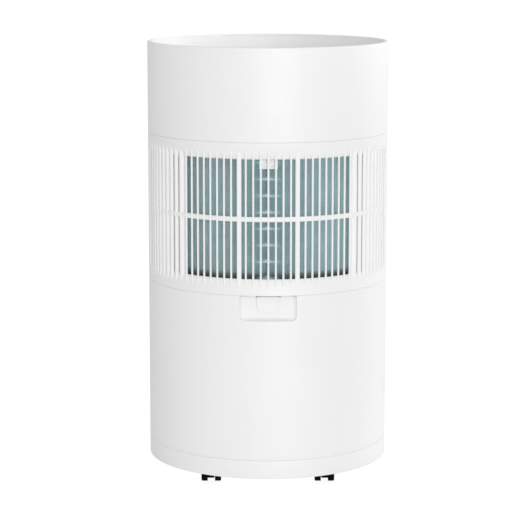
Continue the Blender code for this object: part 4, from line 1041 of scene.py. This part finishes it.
# ---- upper fan ----
def make_fan():
    middle = middle_of("fan_wheel").z
    root = FAN_HUB - 0.002

    def wheel(work):
        boss = [(0.0, middle + 0.015), (root, middle + 0.015), (FAN_HUB, middle - 0.015)]
        revolve(work, [*fillet(boss, 0.006, 6), (0.0, middle - 0.015)], 48)
        for index in range(BLADES):
            front, back = [], []
            for step in range(13):
                t = step / 12
                radius = root + (FAN_TIP - root) * t
                pitch = math.radians(42 - 16 * t)
                chord = 0.022 + 0.007 * t
                azimuth = 360 * index / BLADES + 10 * t
                for rows, side in ((front, 1), (back, -1)):
                    row = []
                    for across in range(9):
                        u = -1 + 2 * across / 8
                        camber = 0.0025 * (1 - u * u)
                        thick = 0.0009 * (1 - 0.7 * u * u) * side
                        along = u * chord * math.cos(pitch)
                        z = middle + u * chord * 0.5 * math.sin(pitch) + camber + thick
                        row.append(polar(radius, azimuth + math.degrees(along / radius), z))
                    rows.append(row)
            loft(work, front)
            loft(work, back)

    piece(shape("fan_rotor", wheel, GREY, outwards=False), "upper_fan", "grey_plastic", "fan_wheel")

    low, high = MOTOR_PLATE_LOW, MOTOR_PLATE_HIGH
    outside = MOUTH_RADIUS + WALL
    deck = [(RADIUS - 0.0035, SHROUD_HIGH), (RADIUS - 0.0035, SHROUD_LOW), (outside + 0.0055, SHROUD_LOW)]
    duct = [(outside, SHROUD_LOW - 0.0060), (outside, low), (MOUTH_RADIUS, low), (MOUTH_RADIUS, SHROUD_HIGH)]
    profile = fillet(deck + duct, [0, 0, 0, 0.002, 0, 0, 0.004], 5)

    def shroud(work):
        revolve(work, profile, 128, closed=True)
        disc = [(0.0062, high), (FAN_HUB, high), (FAN_HUB, low), (0.0062, low)]
        revolve(work, fillet(disc, 0.0008, closed=True), 48, closed=True)
        for azimuth in (30, 150, 270):
            spoke = (MOUTH_RADIUS + 0.001, 0.006, high - 0.0002)
            block(work, (FAN_HUB - 0.002, -0.006, low + 0.0002), spoke, turned(azimuth))

    piece(shape("fan_mouth", shroud, FOAM), "cabinet", "white_foam", "fan_shroud")


# ---- castors ----
def make_castor(name):
    axle = middle_of(f"castor_axle_{name}")
    x = axle.x
    across = Matrix.Translation(axle) @ turned(90, "Y")
    wheel_low, wheel_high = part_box(f"castor_wheel_{name}_left")
    radius = (wheel_high.z - wheel_low.z) / 2
    swivel_y = axle.y - 0.008

    def hood(work):
        front, y = swivel_y - 0.0108, axle.y
        low = [(front, HOOD_LOW + 0.0002), (y - 0.0020, HOOD_LOW), (y + radius * 0.55, HOOD_LOW)]
        back = [(y + radius + 0.0012, 0.0180), (y + radius * 0.7, 0.0290)]
        high = [(y, HOOD_HIGH), (swivel_y - 0.0060, HOOD_HIGH), (front, 0.0260)]
        radii = [0.0008, 0.001, 0.004, 0.004, 0.006, 0.004, 0.004, 0.003]
        outline = fillet(low + back + high, radii, closed=True)
        slab(work, outline, x - HOOD_HALF_WIDTH, x + HOOD_HALF_WIDTH, ALONG_X)

    body = shape(f"hood_{name}", hood, BLACK, edge=0.0004)

    def crown(work):
        plate = [(0.0, 0.0348), (0.0150, 0.0348), (0.0150, HOOD_HIGH), (0.0, HOOD_HIGH)]
        revolve(work, plate, 40, matrix=moved(x, swivel_y + 0.004))
        stem = [(0.0, 0.0430), (0.0040, 0.0430), (0.0040, 0.0397)]
        collar = [(0.0090, 0.0397), (0.0090, 0.0340), (0.0, 0.0340)]
        revolve(work, [*stem, *collar], 32, matrix=moved(x, swivel_y))

    piece(body, f"castor_{name}", "black_plastic", f"castor_hood_{name}")
    piece(shape(f"swivel_{name}", crown, BLACK), f"castor_{name}", "black_plastic")

    for side, side_name in ((-1, "left"), (1, "right")):
        near, far = HOOD_HALF_WIDTH + 0.0003, HOOD_HALF_WIDTH + 0.0101
        inside = [(radius - 0.0004, near), (radius, near + 0.0004), (radius, far - 0.0014)]
        outside = [(radius - 0.0002, far - 0.0008), (radius - 0.0012, far), (radius - 0.0045, far)]
        dish = [(radius - 0.0052, far - 0.0012), (0.0045, far - 0.0012)]
        boss = [(0.0038, far - 0.0002), (0.0028, far - 0.0002), (0.0028, near)]
        profile = [*fillet(inside, 0.0003, 3)[1:], *fillet(outside, 0.0005, 3), *dish, *boss]
        turn = Matrix.Translation(axle) @ turned(90 * side, "Y")

        def wheel(work, profile=profile, turn=turn):
            revolve(work, profile, 48, closed=True, matrix=turn)

        obj = shape(f"wheel_{name}_{side_name}", wheel, TYRE, sharp=35)
        piece(obj, f"wheels_{name}", "black_plastic", f"castor_wheel_{name}_{side_name}")

    def pin(work):
        half = high_of(f"castor_axle_{name}").x - x
        revolve(work, fillet(bore(0.0025, half), [0, 0.0006, 0.0006, 0], 3), 24, matrix=across)

    piece(shape(f"axle_{name}", pin, STEEL), f"wheels_{name}", "steel", f"castor_axle_{name}")


# ---- inner nodes that keep their CAD shape ----
INNER_FINISHES = (
    (BOARD, "control_board"),
    (PAINT, "compressor", "accumulator"),
    (RUBBER, "rubber_mount_1", "rubber_mount_2", "rubber_mount_3"),
    (COPPER, "discharge_pipe", "suction_pipe", "liquid_pipe"),
    (FOAM, "drip_tray", "blower_housing"),
    (ZINC, "chassis_post_left", "chassis_post_right", "fan_motor", "blower_motor"),
    (BLACK, "blower_wheel"),
    (GREY, "exhaust_duct", "electrical_box"),
)


def finish_inner_nodes():
    for made, *nodes in INNER_FINISHES:
        for node in nodes:
            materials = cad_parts[node].data.materials
            materials.clear()
            materials.append(made)


# ---- studio ----
CAMERA_PLACE = (-0.0202, -3.2906, 0.8779)
CAMERA_PITCH = 9.272  # degrees below the horizon
CAMERA_LENS = 146.7
WORLD_STRENGTH = 0.700
BACKDROP_STRENGTH = 1.02  # of the world as the camera sees it
FLOOR_HALF = 60.0


def hang(light, target, away):
    """A light that points at a target from a place that far away from it."""
    obj = new_object(light.name, light)
    obj.location = target + away
    obj.rotation_mode = "QUATERNION"
    obj.rotation_quaternion = away.to_track_quat("Z", "Y")
    return obj


def make_light(name, azimuth, elevation, distance, width, height, power):
    light = bpy.data.lights.new(name, "AREA")
    light.shape = "RECTANGLE"
    light.size = width
    light.size_y = height
    light.energy = power
    angle = math.radians(elevation)
    away = polar(math.cos(angle), azimuth, math.sin(angle))
    obj = hang(light, Vector((0, 0, 0.35)), away * distance)
    obj.visible_camera = False
    return obj


def make_studio():
    scene = bpy.context.scene
    camera = new_object("camera", bpy.data.cameras.new("camera"))
    camera.data.lens = CAMERA_LENS
    camera.data.sensor_width = 36.0
    camera.location = CAMERA_PLACE
    camera.rotation_euler = (math.radians(90 - CAMERA_PITCH), 0, 0)
    scene.camera = camera

    world = bpy.data.worlds.new("studio")
    scene.world = world
    world.use_nodes = True
    world.node_tree.nodes.clear()
    nodes = Nodes(world.node_tree)
    lit = nodes.add("Background", Color=(1.0, 1.0, 1.0, 1), Strength=WORLD_STRENGTH)
    seen = nodes.add("Background", Strength=BACKDROP_STRENGTH)
    mix = nodes.add("MixShader")
    nodes.link(nodes.add("LightPath").outputs["Is Camera Ray"], mix.inputs["Fac"])
    nodes.link(lit.outputs["Background"], mix.inputs[1])
    nodes.link(seen.outputs["Background"], mix.inputs[2])
    nodes.link(mix.outputs["Shader"], nodes.add("OutputWorld").inputs["Surface"])

    floor_mesh = bpy.data.meshes.new("floor")
    corners = [(x * FLOOR_HALF, y * FLOOR_HALF, 0) for x, y in ((-1, -1), (1, -1), (1, 1), (-1, 1))]
    floor_mesh.from_pydata(corners, [], [(0, 1, 2, 3)])
    floor = new_object("floor", floor_mesh)
    glow = {"Emission_Color": (1, 1, 1, 1), "Emission_Strength": 0.93}
    finish = {"Base_Color": (0.14, 0.14, 0.14, 1), "Roughness": 0.9, "Specular_IOR_Level": 0.0}
    floor_mesh.materials.append(material("pale_floor", **finish, **glow)[0])
    floor.visible_diffuse = False
    floor.visible_glossy = False
    floor.visible_shadow = False

    make_light("front_light", 10, 4, 6.0, 3.0, 1.7, 117)
    right = make_light("right_light", 128, 10, 6.0, 2.5, 3.0, 188)
    right.visible_glossy = False
    bowl = bpy.data.lights.new("bowl_light", "SPOT")
    bowl.energy = 46
    bowl.spot_size = math.radians(14)
    bowl.spot_blend = 1.0
    bowl.shadow_soft_size = 0.15
    hang(bowl, Vector((-0.110, 0.120, 0.672)), Vector((1.410, -0.720, 1.028)))

    scene.view_settings.view_transform = "Standard"
    scene.view_settings.look = "None"


# ---- the machine ----
make_studio()
make_base_pan()
make_front_casing()
make_latch_tab()
make_rear_casing()
make_top_collar()
make_grille()
make_filter()
make_coil("evaporator_coil", 0.0, 0.3305, 8, 0.0017, (TEAL, "coated_fins", TUBE, "coated_fins"))
make_coil("condenser_coil", 180.0, 0.0600, 10, 0.0037, (BARE, "bare_fins", COPPER, "copper"))
make_deck()
make_blades()
make_controls()
make_fittings()
make_fan()
for castor_name in ("front_left", "front_right", "rear_left", "rear_right"):
    make_castor(castor_name)
finish_inner_nodes()
